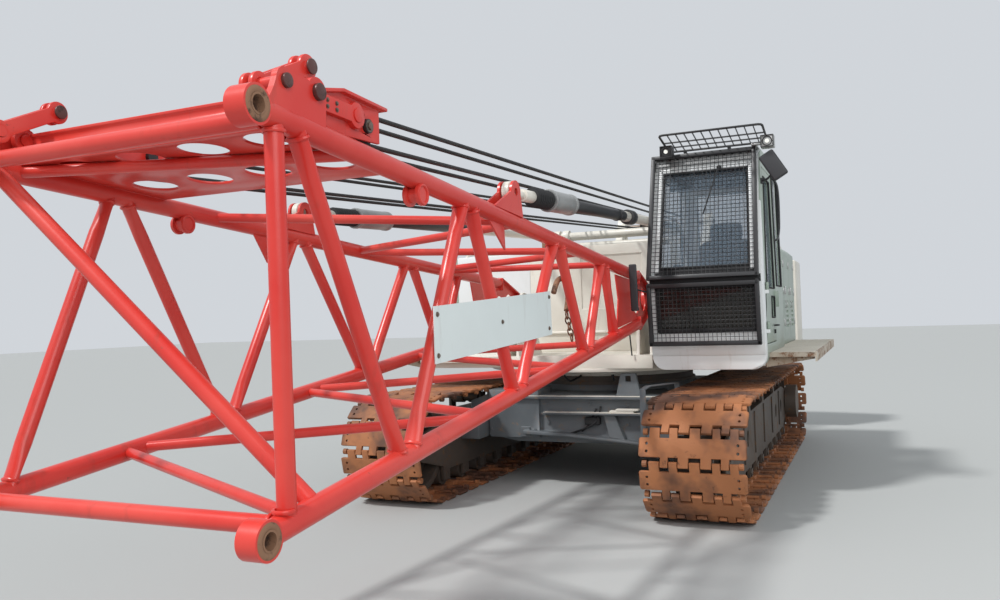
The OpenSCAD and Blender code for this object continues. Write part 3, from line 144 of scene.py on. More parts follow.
def facing(direction):  # the turn that lays local Z along a direction
    return Vector(direction).to_track_quat("Z", "Y")


def addBox(name, low, high, bevel=0.0, segments=2):
    clearAll()
    low, high = Vector(low), Vector(high)
    bpy.ops.mesh.primitive_cube_add(size=1, location=(low + high) / 2)
    obj = newest(name)
    obj.scale = high - low
    bakePlace(obj)
    if bevel:
        editAll()
        bpy.ops.mesh.bevel(offset=bevel, segments=segments, affect="EDGES")
        leaveEdit()
    return obj


def addBoxes(rows):  # rows of name, low corner, high corner and edge radius
    return [addBox(name, at(*low), at(*high), bevel) for name, low, high, bevel in rows]


def addRod(name, start, end, radius, sides=20, bevel=0.0):
    clearAll()
    start, end = Vector(start), Vector(end)
    bpy.ops.mesh.primitive_cone_add(
        vertices=sides, radius1=radius, radius2=radius, depth=(end - start).length,
        location=(start + end) / 2, rotation=facing(end - start).to_euler())
    obj = newest(name)
    bakePlace(obj)
    if bevel:
        roundEdges(obj, bevel, 50)
    return obj


def addRing(name, centre, direction, major, minor, majorSides=28, minorSides=8):
    clearAll()
    bpy.ops.mesh.primitive_torus_add(
        location=Vector(centre), rotation=facing(direction).to_euler(), major_radius=major,
        minor_radius=minor, major_segments=majorSides, minor_segments=minorSides)
    obj = newest(name)
    bakePlace(obj)
    return obj


def joinAll(name, parts):
    clearAll()
    for part in parts:
        part.select_set(True)
    bpy.context.view_layer.objects.active = parts[0]
    if len(parts) > 1:
        bpy.ops.object.join()
    obj = bpy.context.object
    obj.name = obj.data.name = name
    return obj


def copyTo(obj, matrix):
    twin = obj.copy()
    twin.data = obj.data.copy()
    bpy.context.scene.collection.objects.link(twin)
    twin.data.transform(matrix)
    return twin


def finish(obj, material, body, stands=(), degrees=32):
    obj.data.materials.clear()
    obj.data.materials.append(material)
    useOnly(obj)
    bpy.ops.object.shade_smooth_by_angle(angle=math.radians(degrees))
    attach(obj, body)
    if stands:
        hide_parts(*stands)
    return obj


# a merged copy of a CAD node with worn round edges
def softened(nodeName, pieceName, width, segments=2):
    source = nodes[nodeName]
    obj = source.copy()
    obj.data = source.data.copy()
    obj.parent = None
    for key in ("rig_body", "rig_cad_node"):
        if key in obj:
            del obj[key]
    bpy.context.scene.collection.objects.link(obj)
    obj.matrix_world = Matrix.Identity(4)
    obj.name = obj.data.name = pieceName
    useOnly(obj)
    editAll()
    bpy.ops.mesh.remove_doubles(threshold=0.00002)
    leaveEdit()
    roundEdges(obj, width, 34, segments, False)
    return obj


def keepFaces(obj, keep):  # delete the faces whose middle fails the test
    pick(obj, "FACE", lambda face: not keep(face.center))
    bpy.ops.mesh.delete(type="FACE")
    leaveEdit()
    return obj


def cutOut(obj, tools):  # take the tools' shapes away from a piece
    for tool in tools:
        useOnly(obj)
        bpy.ops.object.modifier_add(type="BOOLEAN")
        cut = obj.modifiers[-1]
        cut.object, cut.operation, cut.solver = tool, "DIFFERENCE", "EXACT"
        bpy.ops.object.modifier_apply(modifier=cut.name)
        bpy.data.objects.remove(tool)
    return obj


# finishes

def newMaterial(name, roughness, metallic=0.0):
    material = bpy.data.materials.new(name)
    material.use_nodes = True
    tree = material.node_tree
    shader = tree.nodes["Principled BSDF"]
    shader.inputs["Roughness"].default_value = roughness
    shader.inputs["Metallic"].default_value = metallic
    return material, tree, shader


def addNode(tree, kind, **values):
    node = tree.nodes.new(kind)
    for key, value in values.items():
        if key in node.inputs:
            node.inputs[key].default_value = value
        else:
            setattr(node, key, value)
    return node


def noiseMask(tree, coord, scale, low, high, detail=8.0, rough=0.6, stretch=(1, 1, 1)):
    mapping = addNode(tree, "ShaderNodeMapping")
    mapping.inputs["Scale"].default_value = stretch
    noise = addNode(tree, "ShaderNodeTexNoise", Scale=scale, Detail=detail, Roughness=rough)
    ramp = addNode(tree, "ShaderNodeMapRange")
    ramp.inputs["From Min"].default_value = low
    ramp.inputs["From Max"].default_value = high
    tree.links.new(coord, mapping.inputs["Vector"])
    tree.links.new(mapping.outputs["Vector"], noise.inputs["Vector"])
    tree.links.new(noise.outputs["Fac"], ramp.inputs["Value"])
    return ramp.outputs["Result"]


def mixColour(tree, factor, first, second):
    mix = tree.nodes.new("ShaderNodeMix")
    mix.data_type = "RGBA"
    tree.links.new(factor, mix.inputs["Factor"])
    for socket, value in ((mix.inputs[6], first), (mix.inputs[7], second)):
        if isinstance(value, tuple):
            socket.default_value = value + (1,)
        else:
            tree.links.new(value, socket)
    return mix.outputs[2]


# The outer sides take a darker sage: partly green paint, partly painted shade.
def shadedSideMask(tree, coord, side):  # 1 on the outer sides of the machine, behind a given x
    parts = addNode(tree, "ShaderNodeSeparateXYZ")
    width = addNode(tree, "ShaderNodeMath", operation="ABSOLUTE")
    outside = addNode(tree, "ShaderNodeMath", operation="GREATER_THAN")
    behind = addNode(tree, "ShaderNodeMath", operation="LESS_THAN")
    both = addNode(tree, "ShaderNodeMath", operation="MULTIPLY")
    outside.inputs[1].default_value = side["beyond"]
    behind.inputs[1].default_value = side["behind"]
    tree.links.new(coord, parts.inputs[0])
    tree.links.new(parts.outputs["Y"], width.inputs[0])
    tree.links.new(width.outputs[0], outside.inputs[0])
    tree.links.new(parts.outputs["X"], behind.inputs[0])
    tree.links.new(outside.outputs[0], both.inputs[0])
    tree.links.new(behind.outputs[0], both.inputs[1])
    return both.outputs[0]


def wornPaint(name, base, faded, stain, stainAt=0.62, roughness=0.45, metallic=0.0, bump=0.15, streaks=True,
              patch=(1.7, 0.35, 0.75), side=None):
    material, tree, shader = newMaterial(name, roughness, metallic)
    coord = tree.nodes.new("ShaderNodeTexCoord").outputs["Object"]
    fade = noiseMask(tree, coord, *patch, 4.0)
    colour = mixColour(tree, fade, base, faded)
    # outer sides mixed towards sage: green paint darkened with painted shade
    if side:
        shade = mixColour(tree, fade, side["base"], side["faded"])
        colour = mixColour(tree, shadedSideMask(tree, coord, side), colour, shade)
    if streaks:
        runs = noiseMask(tree, coord, 9.0, 0.60, 0.80, 6.0, 0.65, (1, 1, 0.18))
        dull = tuple(0.5 * b + 0.5 * s for b, s in zip(base, stain))
        colour = mixColour(tree, runs, colour, dull)
    spots = noiseMask(tree, coord, 14.0, stainAt, stainAt + 0.09, 10.0, 0.72)
    colour = mixColour(tree, spots, colour, stain)
    tree.links.new(colour, shader.inputs["Base Color"])
    rough = addNode(tree, "ShaderNodeMapRange")
    rough.inputs["To Min"].default_value = roughness - 0.06
    rough.inputs["To Max"].default_value = min(1, roughness + 0.3)
    tree.links.new(spots, rough.inputs["Value"])
    tree.links.new(rough.outputs["Result"], shader.inputs["Roughness"])
    grain = addNode(tree, "ShaderNodeTexNoise", Scale=60.0, Detail=6.0)
    tree.links.new(coord, grain.inputs["Vector"])
    relief = addNode(tree, "ShaderNodeBump", Strength=bump, Distance=0.002)
    tree.links.new(grain.outputs["Fac"], relief.inputs["Height"])
    tree.links.new(relief.outputs["Normal"], shader.inputs["Normal"])
    return material


def plain(name, colour, roughness, metallic=0.0):
    material, _, shader = newMaterial(name, roughness, metallic)
    shader.inputs["Base Color"].default_value = colour + (1,)
    return material


print("stage: finishes")
redPaint = wornPaint("redPaint", (0.60, 0.030, 0.022), (0.68, 0.075, 0.055), (0.16, 0.05, 0.03), 0.66, 0.36)
creamPaint = wornPaint("creamPaint", (0.74, 0.71, 0.63), (0.63, 0.59, 0.51), (0.26, 0.17, 0.10), 0.66, 0.42)
white = ((0.76, 0.78, 0.78), (0.70, 0.71, 0.69))
whitePaint = wornPaint("whitePaint", *white, (0.40, 0.33, 0.25), 0.70, 0.38)
# sage: the green side paint, darkened further as painted shade on the machine's outer sides
sageAndShade = {"base": (0.31, 0.38, 0.31), "faded": (0.26, 0.32, 0.27)}
cabPaint = wornPaint("cabPaint", *white, (0.40, 0.33, 0.25), 0.70, 0.38,
                     side={**sageAndShade, "beyond": 1.645, "behind": slewX + 1.335})
housePaint = wornPaint("housePaint", *white, (0.30, 0.24, 0.17), 0.69, 0.42,
                       side={**sageAndShade, "beyond": 1.57, "behind": 9.0})
sageShadePaint = wornPaint("sageShadePaint", sageAndShade["base"], sageAndShade["faded"], (0.30, 0.24, 0.17), 0.69, 0.42)
greyPaint = wornPaint("greyPaint", (0.10, 0.115, 0.125), (0.15, 0.16, 0.165), (0.20, 0.15, 0.11), 0.58, 0.62)
shoeRust = wornPaint("shoeRust", (0.12, 0.056, 0.034), (0.38, 0.148, 0.058), (0.10, 0.050, 0.033),
                     0.60, 0.74, 0.1, 0.35, False, (1.9, 0.42, 0.56))
walkPaint = wornPaint("walkPaint", (0.56, 0.50, 0.41), (0.36, 0.27, 0.19), (0.22, 0.11, 0.06),
                      0.50, 0.6, 0.0, 0.3, True, (3.0, 0.40, 0.62))
darkSteel = wornPaint("darkSteel", (0.075, 0.06, 0.05), (0.12, 0.095, 0.075), (0.20, 0.11, 0.06),
                      0.56, 0.66, 0.3, 0.4)
bareRust = wornPaint("bareRust", (0.22, 0.11, 0.06), (0.30, 0.17, 0.10), (0.09, 0.05, 0.035),
                     0.52, 0.78, 0.1, 0.5)
oiledPin = wornPaint("oiledPin", (0.085, 0.032, 0.028), (0.13, 0.06, 0.05), (0.05, 0.03, 0.025),
                     0.55, 0.45, 0.2, 0.3)
pinSteel = wornPaint("pinSteel", (0.16, 0.13, 0.11), (0.25, 0.20, 0.16), (0.20, 0.09, 0.05),
                     0.55, 0.5, 0.6, 0.3)
blackPaint = wornPaint("blackPaint", (0.018, 0.018, 0.02), (0.03, 0.03, 0.03), (0.07, 0.055, 0.045),
                       0.64, 0.5)
springGrey = wornPaint("springGrey", (0.25, 0.26, 0.26), (0.33, 0.33, 0.32), (0.12, 0.08, 0.06),
                       0.60, 0.45, 0.3)
signWhite = wornPaint("signWhite", (0.70, 0.76, 0.75), (0.66, 0.71, 0.70), (0.45, 0.44, 0.40),
                      0.72, 0.5, 0.0, 0.05)
rubberBlack = plain("rubberBlack", (0.015, 0.015, 0.016), 0.75)
plasticDark = plain("plasticDark", (0.03, 0.03, 0.033), 0.55)
seatCloth = plain("seatCloth", (0.035, 0.036, 0.04), 0.9)
galvanised = wornPaint("galvanised", (0.42, 0.42, 0.41), (0.50, 0.50, 0.49), (0.25, 0.22, 0.19),
                       0.66, 0.4, 0.7)


def makeGlass(name, colour, alpha):
    material, _, shader = newMaterial(name, 0.05)
    shader.inputs["Base Color"].default_value = colour + (1,)
    shader.inputs["Alpha"].default_value = alpha
    shader.inputs["IOR"].default_value = 1.5
    return material


windowGlass = makeGlass("windowGlass", (0.24, 0.31, 0.38), 0.30)
# dark, nearly opaque glass: painted shade of the cab's inside behind the lower windshield
paintedShadeGlass = makeGlass("paintedShadeGlass", (0.022, 0.019, 0.016), 0.86)


def makeRope():
    material, tree, shader = newMaterial("ropeSteel", 0.55, 0.5)
    shader.inputs["Base Color"].default_value = (0.035, 0.034, 0.033, 1)
    coord = tree.nodes.new("ShaderNodeTexCoord").outputs["Object"]
    mapping = addNode(tree, "ShaderNodeMapping")
    mapping.inputs["Rotation"].default_value = (0.5, 0.6, 0)
    wave = addNode(tree, "ShaderNodeTexWave", Scale=26.0)
    tree.links.new(coord, mapping.inputs["Vector"])
    tree.links.new(mapping.outputs["Vector"], wave.inputs["Vector"])
    relief = addNode(tree, "ShaderNodeBump", Strength=0.7, Distance=0.003)
    tree.links.new(wave.outputs["Fac"], relief.inputs["Height"])
    tree.links.new(relief.outputs["Normal"], shader.inputs["Normal"])
    return material


ropeSteel = makeRope()

nodeFinish = (
    (greyPaint, "car_body"),
    (darkSteel, "side_frames idlers sprockets track_rollers slew_ring engine"),
    (shoeRust, "track_left track_right"),
    (creamPaint, "deck counterweight gantry backstop_rods"),
    (whitePaint, "cab_shell cab_door house_left house_right front_cover"),
    (windowGlass, "cab_glass door_glass"),
    (blackPaint, "cab_guard cab_visor equalizer_sheaves backstop_tubes"),
    (seatCloth, "cab_seat"),
    (plasticDark, "cab_console mirrors"),
    (galvanised, "work_lamps"),
    (bareRust, "exhaust front_drum rear_drum boom_hoist_drum"),
    (pinSteel, "gantry_sheaves"),
    (walkPaint, "catwalks"),
    (redPaint, "top_chords bottom_chords foot_plates side_lacing plan_lacing end_frame top_plate equalizer"),
    (redPaint, "pendant_links"),
    (signWhite, "sign_plate"),
    (ropeSteel, "hoist_ropes"),
)
for material, names in nodeFinish:
    for name in names.split():
        for place in nodes[name].material_slots:
            place.material = material

print("stage: camera, lights and floor")
viewSettings = {
    "place": (7.110, 2.510, 1.541), "heading": 0.4197, "pitch": 0.0210, "roll": -0.0327, "lens": 30.6,
    "sensor": 36, "reach": 200,
}


def makeCamera(s):
    h, p, r = s["heading"], s["pitch"], s["roll"]
    forward = Vector((-math.cos(h) * math.cos(p), -math.sin(h) * math.cos(p), math.sin(p)))
    right = Vector((-math.sin(h), math.cos(h), 0))
    up = right.cross(forward)
    rolledRight = math.cos(r) * right + math.sin(r) * up
    rolledUp = -math.sin(r) * right + math.cos(r) * up
    data = bpy.data.cameras.new("photoCamera")
    data.lens, data.sensor_width, data.clip_end = s["lens"], s["sensor"], s["reach"]
    camera = bpy.data.objects.new("photoCamera", data)
    bpy.context.scene.collection.objects.link(camera)
    turn = Matrix((rolledRight, rolledUp, -forward)).transposed().to_4x4()
    camera.matrix_world = Matrix.Translation(s["place"]) @ turn
    bpy.context.scene.camera = camera


makeCamera(viewSettings)
lightSettings = {
    "sunPower": 2.5, "sunAngle": 6, "sunFrom": (0.50, -0.42, 0.85), "fillPower": 420, "fillSize": 7,
    "fillAt": (9, 7, 6), "fillFrom": (9, 7, 4.5), "skyPower": 0.74, "skyColour": (0.86, 0.90, 0.95, 1),
}


def makeLights(s):
    sunData = bpy.data.lights.new("keySun", "SUN")
    sunData.energy, sunData.angle = s["sunPower"], math.radians(s["sunAngle"])
    sun = bpy.data.objects.new("keySun", sunData)
    sun.rotation_euler = facing(s["sunFrom"]).to_euler()
    bpy.context.scene.collection.objects.link(sun)
    fillData = bpy.data.lights.new("softFill", "AREA")
    fillData.energy, fillData.size = s["fillPower"], s["fillSize"]
    fill = bpy.data.objects.new("softFill", fillData)
    fill.location = s["fillAt"]
    fill.rotation_euler = facing(s["fillFrom"]).to_euler()
    bpy.context.scene.collection.objects.link(fill)
    world = bpy.data.worlds.new("paleStudio")
    world.use_nodes = True
    sky = world.node_tree.nodes["Background"].inputs
    sky["Color"].default_value, sky["Strength"].default_value = s["skyColour"], s["skyPower"]
    bpy.context.scene.world = world


makeLights(lightSettings)
bpy.context.scene.view_settings.view_transform = "Standard"
clearAll()
bpy.ops.mesh.primitive_plane_add(size=120, location=(0, 0, -0.001))
floor = bpy.context.object
floor.name = "studioFloor"
floor.data.materials.append(plain("paleFloor", (0.40, 0.41, 0.40), 0.9))

print("stage: track shoes")
trackSettings = {
    "endX": 2.1, "axleZ": 0.45, "middleRadius": 0.419, "shoes": 49, "width": 0.754, "thick": 0.026,
    "outerFace": 0.030, "wingHalf": 0.069, "fingerReach": 0.072, "gaugeHalf": 1.27, "cornerRound": 0.016,
    "edgeRound": 0.007, "holeRadius": 0.011, "holeX": 0.028, "holeY": 0.318, "drillZs": (-0.02, 0.05),
    "downFingers": ((-0.218, -0.164), (-0.092, -0.020), (0.066, 0.138), (0.205, 0.259)),
    "upFingers": ((-0.299, -0.226), (-0.157, -0.099), (-0.013, 0.059), (0.145, 0.198), (0.266, 0.322)),
    "lugYs": (-0.13, 0.13), "lugHalfX": 0.055, "lugHalfY": 0.045, "lugZs": (-0.030, 0.006), "lugRound": 0.006,
    "pinX": 0.1126, "pinZ": -0.004, "pinHalf": 0.30, "pinRadius": 0.014,
    "knuckleYs": (-0.335, 0.338), "knuckleHalf": 0.016, "knuckleRadius": 0.024,
}


def beltPoint(s, distance):  # x and z of the middle line at a distance along the belt
    straight, half = 2 * s["endX"], pi * s["middleRadius"]
    total = 2 * (straight + half)
    d = distance % total
    if d < straight:
        return d - s["endX"], s["axleZ"] + s["middleRadius"]
    if d < straight + half:
        a = (d - straight) / s["middleRadius"]
        return s["endX"] + s["middleRadius"] * math.sin(a), s["axleZ"] + s["middleRadius"] * math.cos(a)
    if d < 2 * straight + half:
        return s["endX"] - (d - straight - half), s["axleZ"] - s["middleRadius"]
    a = (d - 2 * straight - half) / s["middleRadius"] + pi
    return -s["endX"] + s["middleRadius"] * math.sin(a), s["axleZ"] + s["middleRadius"] * math.cos(a)


def beltPlace(s, distance):  # a shoe stands square to the line between its two pins
    x, z = beltPoint(s, distance)
    x0, z0 = beltPoint(s, distance - s["pinX"])
    x1, z1 = beltPoint(s, distance + s["pinX"])
    a = math.atan2(z0 - z1, x1 - x0)
    return Matrix.Translation(at(x, 0, z)) @ Matrix.Rotation(a, 4, "Y")


def gridPlate(name, xs, ys, keep, thick):  # a grid with its lines moved to xs and ys, less its unwanted cells
    clearAll()
    bpy.ops.mesh.primitive_grid_add(x_subdivisions=len(xs) - 1, y_subdivisions=len(ys) - 1, size=2)
    obj = newest(name)
    for v in obj.data.vertices:
        i = round((v.co.x + 1) / 2 * (len(xs) - 1))
        j = round((v.co.y + 1) / 2 * (len(ys) - 1))
        v.co = (xs[i], ys[j], 0)
    pick(obj, "FACE", lambda face: not keep(face.center.x, face.center.y))
    bpy.ops.mesh.delete(type="FACE")
    bpy.ops.mesh.select_all(action="SELECT")
    bpy.ops.mesh.dissolve_limited(angle_limit=0.01)
    bpy.ops.mesh.extrude_region_move(TRANSFORM_OT_translate={"value": (0, 0, thick)})
    faceOutwards()
    return obj


def makeShoe(s):
    half, reach, edge = s["wingHalf"], s["fingerReach"], s["width"] / 2
    near = 0.0001  # how closely a corner is found again
    xs = [-half - reach, -half, half, half + reach]
    cuts = sorted({-edge, edge, *[c for pair in s["downFingers"] + s["upFingers"] for c in pair]})

    def inShoe(x, y):
        if abs(x) < half:
            return True
        return any(a < y < b for a, b in s["downFingers" if x > 0 else "upFingers"])

    def atCorner(side):
        ends = [plate.data.vertices[i].co for i in side.vertices]
        return all(abs(abs(c.x) - half) < near and abs(abs(c.y) - edge) < near for c in ends)

    def crossRod(name, y0, y1, radius, sides):
        return addRod(name, (s["pinX"], y0, s["pinZ"]), (s["pinX"], y1, s["pinZ"]), radius, sides)

    plate = gridPlate("shoe", xs, cuts, inShoe, s["thick"])
    plate.data.transform(Matrix.Translation((0, 0, s["outerFace"] - s["thick"])))
    pick(plate, "EDGE", atCorner)
    bpy.ops.mesh.bevel(offset=s["cornerRound"], segments=2, affect="EDGES")
    leaveEdit()
    roundEdges(plate, s["edgeRound"], 50)
    inside, outside = s["drillZs"]
    cutOut(plate, [addRod("drill", (x, y, inside), (x, y, outside), s["holeRadius"], 10)
                   for y in (-s["holeY"], s["holeY"]) for x in (-s["holeX"], s["holeX"])])
    # pads and pin bosses on the inner face, which the wheels run on
    lugX, lugY, (low, high) = s["lugHalfX"], s["lugHalfY"], s["lugZs"]
    lugs = [addBox("lug", (-lugX, y - lugY, low), (lugX, y + lugY, high), s["lugRound"], 1) for y in s["lugYs"]]
    pins = [crossRod("pin", -s["pinHalf"], s["pinHalf"], s["pinRadius"], 8)]
    pins += [crossRod("knuckle", y - s["knuckleHalf"], y + s["knuckleHalf"], s["knuckleRadius"], 10)
             for y in s["knuckleYs"]]
    return joinAll("shoe", [plate] + lugs + pins)


def makeTrack(s, hand, name, node):
    shoe = makeShoe(s)
    pitch = 2 * (2 * s["endX"] + pi * s["middleRadius"]) / s["shoes"]
    side = Matrix.Translation((0, hand * s["gaugeHalf"], 0))
    copies = [copyTo(shoe, side @ beltPlace(s, i * pitch)) for i in range(s["shoes"])]
    bpy.data.objects.remove(shoe)
    track = joinAll(name, copies)
    for v in track.data.vertices:  # no finger of a bent shoe digs into the ground
        v.co.z = max(v.co.z, 0.0)
    return finish(track, shoeRust, "lower", (node,))


makeTrack(trackSettings, 1, "trackShoesLeft", "track_left")
makeTrack(trackSettings, -1, "trackShoesRight", "track_right")

print("stage: round the edges of the welded bodies")
worn = [
    ("car_body", "carBody", 0.006, greyPaint, "lower", "grey_paint"),
    ("side_frames", "sideFrames", 0.005, darkSteel, "lower", "grey_paint"),
    ("deck", "revolvingDeck", 0.005, creamPaint, "upper", "cream_paint"),
    ("cab_shell", "cabBody", 0.005, cabPaint, "upper", "cream_paint"),
    # the cab door is sage throughout: green paint with painted shade
    ("cab_door", "cabDoor", 0.006, sageShadePaint, "cab_door", "cream_paint"),
    ("house_left", "leftHouse", 0.007, housePaint, "upper", "cream_paint"),
    ("house_right", "rightHouse", 0.007, housePaint, "upper", "cream_paint"),
    ("front_cover", "frontCover", 0.005, creamPaint, "upper", "cream_paint"),
    ("counterweight", "counterweightSlabs", 0.02, creamPaint, "upper", "cream_paint"),
    ("gantry", "gantryFrame", 0.005, creamPaint, "upper", "cream_paint"),
    ("equalizer", "equalizerFrame", 0.003, redPaint, "boom", "red_paint"),
    ("pendant_links", "pendantLinks", 0.003, redPaint, "boom", "red_paint"),
    ("top_plate", "lightenedPlate", 0.002, redPaint, "boom", "red_paint"),
]
for nodeName, pieceName, width, material, body, slot in worn:
    piece = softened(nodeName, pieceName, width)
    finish(piece, material, body, (nodeName,))
lampSplit = 1.3  # one lamp stands on each side of this y
outerLamp = softened("work_lamps", "workLamps", 0.004)
innerLamp = softened("work_lamps", "innerLamp", 0.004)
finish(keepFaces(outerLamp, lambda c: c.y > lampSplit), galvanised, "upper", ("work_lamps",))
finish(keepFaces(innerLamp, lambda c: c.y < lampSplit), blackPaint, "upper")


def lowerPane(c):  # the windshield below the cab's waist
    return c.z < 1.80 and c.x > slewX + 1.38


cabPanes = softened("cab_glass", "cabPanes", 0.0008, 1)
# below the waist the pane is dark and nearly opaque, painted shade of the cab's inside
paintedShadePane = softened("cab_glass", "lowerPane", 0.0008, 1)
finish(keepFaces(cabPanes, lambda c: not lowerPane(c)), windowGlass, "upper", ("cab_glass",))
finish(keepFaces(paintedShadePane, lowerPane), paintedShadeGlass, "upper")

print("stage: boom tubes")
boomSettings = {
    "footX": 1.05, "length": 5.35, "chord": 0.044, "sideTube": 0.033, "weld": 0.0075, "footHalf": 0.630,
    "endHalf": 0.738, "footMid": 1.660, "footDepth": 0.327, "endLow": 0.880, "endDepth": 1.349,
    "leftStations": (6.17, 5.48, 4.82, 4.25, 3.51, 2.96, 2.49, 2.18),
    "rightStations": (6.17, 5.60, 4.93, 4.28, 3.60, 3.01, 2.54, 2.20),
    "spread": 0.078, "pinch": 0.62, "widen": 1.22, "flatRun": 0.20, "flatShare": 0.45,
    "leastTilt": 0.35, "weldAt": 0.93, "weldFit": 0.98, "weldPinch": 1.12,
    "frameBack": 0.124, "frameWeldOut": 0.049, "frameTube": 0.035,
}


def chordAt(s, x, hand, upper):
    t = (x - s["footX"]) / s["length"]
    half = s["footHalf"] + (s["endHalf"] - s["footHalf"]) * t
    footZ = s["footMid"] + (s["footDepth"] / 2 if upper else -s["footDepth"] / 2)
    endZ = s["endLow"] + (s["endDepth"] if upper else 0)
    return at(x, hand * half, footZ + (endZ - footZ) * t)


def addShaped(name, start, end, rings, sides=22):  # a rod drawn ring by ring: distance, width, height
    start, end = Vector(start), Vector(end)
    clearAll()
    bpy.ops.mesh.primitive_circle_add(vertices=sides, radius=1, fill_type="NGON", location=(0, 0, 0))
    obj = newest(name)
    editAll()
    before = (rings[0][0], 1.0, 1.0)
    for count, (run, wide, high) in enumerate(rings):
        if count:
            bpy.ops.mesh.extrude_region_move(TRANSFORM_OT_translate={"value": (0, 0, run - before[0])})
        bpy.ops.transform.resize(value=(wide / before[1], high / before[2], 1))
        before = (run, wide, high)
    faceOutwards()
    obj.data.transform(Matrix.Translation(start) @ facing(end - start).to_matrix().to_4x4())
    return obj


def addLacing(s, a, b, radius):
    length, full, flat = (b - a).length, s["flatRun"], s["flatRun"] * s["flatShare"]
    w, h = radius * s["widen"], radius * s["pinch"]
    rings = [(0, w, h), (flat, w, h), (full, radius, radius), (length - full, radius, radius),
             (length - flat, w, h), (length, w, h)]
    return addShaped("lacing", a, b, rings)


def addWeld(s, centre, away, radius, squeeze):  # the bead round a tube where it meets a chord
    bead = addRing("weld", (0, 0, 0), (0, 0, 1), radius, s["weld"], 20, 6)
    bead.data.transform(Matrix.Diagonal((squeeze[0], squeeze[1], 1, 1)))
    bead.data.transform(Matrix.Translation(centre) @ facing(away).to_matrix().to_4x4())
    return bead


def sideTubes(s, stations, hand, upperFirst):
    tubes = []
    for i in range(len(stations) - 1):
        a = stations[i] - (0 if i == 0 else s["spread"] / 2)
        b = stations[i + 1] + s["spread"] / 2
        upper = upperFirst if i % 2 == 0 else not upperFirst
        start, end = chordAt(s, a, hand, upper), chordAt(s, b, hand, not upper)
        tubes.append(addLacing(s, start, end, s["sideTube"]))
        run = (end - start).normalized()
        for point, way in ((start, run), (end, -run)):
            tilt = max(s["leastTilt"], abs(run.z))
            foot = point + way * (s["chord"] * s["weldAt"] / tilt)
            squeeze = (s["widen"], s["pinch"] * s["weldPinch"])
            tubes.append(addWeld(s, foot, way, s["sideTube"] * s["weldFit"], squeeze))
    return tubes


sideTubePieces = sideTubes(boomSettings, boomSettings["leftStations"], 1, True)
sideTubePieces += sideTubes(boomSettings, boomSettings["rightStations"], -1, False)
finish(joinAll("sideLacing", sideTubePieces), redPaint, "boom", ("side_lacing",), 50)


def endWelds(s):  # beads at both ends of the four tubes of the end frame
    x = s["footX"] + s["length"] - s["frameBack"]
    corner = {(hand, upper): chordAt(s, x, hand, upper) for hand in (1, -1) for upper in (True, False)}
    pairs = [((hand, False), (hand, True)) for hand in (1, -1)]
    pairs += [((1, upper), (-1, upper)) for upper in (True, False)]
    beads = []
    for first, second in pairs:
        a, b = corner[first], corner[second]
        way = (b - a).normalized()
        for point, inwards in ((a, way), (b, -way)):
            beads.append(addWeld(s, point + inwards * s["frameWeldOut"], inwards, s["frameTube"], (1, 1)))
    return beads


finish(joinAll("endFrameWelds", endWelds(boomSettings)), redPaint, "boom", (), 60)

print("stage: boom end eyes")
eyeSettings = {
    "endX": 6.40, "half": 0.040, "bossSink": 0.001, "bossRing": 0.046, "bossRound": 0.0125,
    "linerOut": 0.004, "linerRadius": 0.036, "linerWall": 0.0072,
}


def makeEyes(s, b):
    bosses, liners = [], []
    reach, radius = s["half"] + s["linerOut"], s["linerRadius"]
    for p in [chordAt(b, s["endX"], hand, upper) for hand in (1, -1) for upper in (True, False)]:
        for side in (1, -1):
            face = p + left * side * (s["half"] - s["bossSink"])
            boss = addRing("boss", face, left, s["bossRing"], s["bossRound"], 32, 8)
            flatten = Matrix.Translation((0, face.y, 0)) @ Matrix.Diagonal((1, 0.5, 1, 1))
            boss.data.transform(flatten @ Matrix.Translation((0, -face.y, 0)))
            bosses.append(boss)
        rings = [(0, radius, radius), (2 * reach, radius, radius)]
        sleeve = addShaped("liner", p - left * reach, p + left * reach, rings, 32)
        pick(sleeve, "FACE", lambda end: abs(end.normal.y) > 0.9)
        bpy.ops.mesh.inset(thickness=s["linerWall"])
        bpy.ops.mesh.bridge_edge_loops()
        leaveEdit()
        liners.append(sleeve)
    return bosses, liners


eyeBosses, eyeLiners = makeEyes(eyeSettings, boomSettings)
finish(joinAll("eyeBosses", eyeBosses), bareRust, "boom", (), 60)
finish(joinAll("eyeLiners", eyeLiners), bareRust, "boom", (), 40)


# plates, bars, hoses and bolts for the added details

def addPlate(name, points, depth, bevel=0.0):  # a flat outline made solid along depth
    clearAll()
    bpy.ops.mesh.primitive_circle_add(vertices=len(points), radius=1, fill_type="NGON", location=(0, 0, 0))
    obj = newest(name)
    for vertex, point in zip(obj.data.vertices, points):
        vertex.co = point
    editAll()
    bpy.ops.mesh.extrude_region_move(TRANSFORM_OT_translate={"value": depth})
    faceOutwards()
    if bevel:
        roundEdges(obj, bevel, 40)
    return obj


def addBar(name, start, end, sideways, wide, high, bevel=0.0):  # a square bar, wide along sideways
    along = (end - start).normalized()
    side = (sideways - sideways.dot(along) * along).normalized()
    obj = addBox(name, (-wide / 2, -high / 2, 0), (wide / 2, high / 2, (end - start).length), bevel, 2)
    turn = Matrix((side, along.cross(side), along)).transposed().to_4x4()
    obj.data.transform(Matrix.Translation(start) @ turn)
    return obj


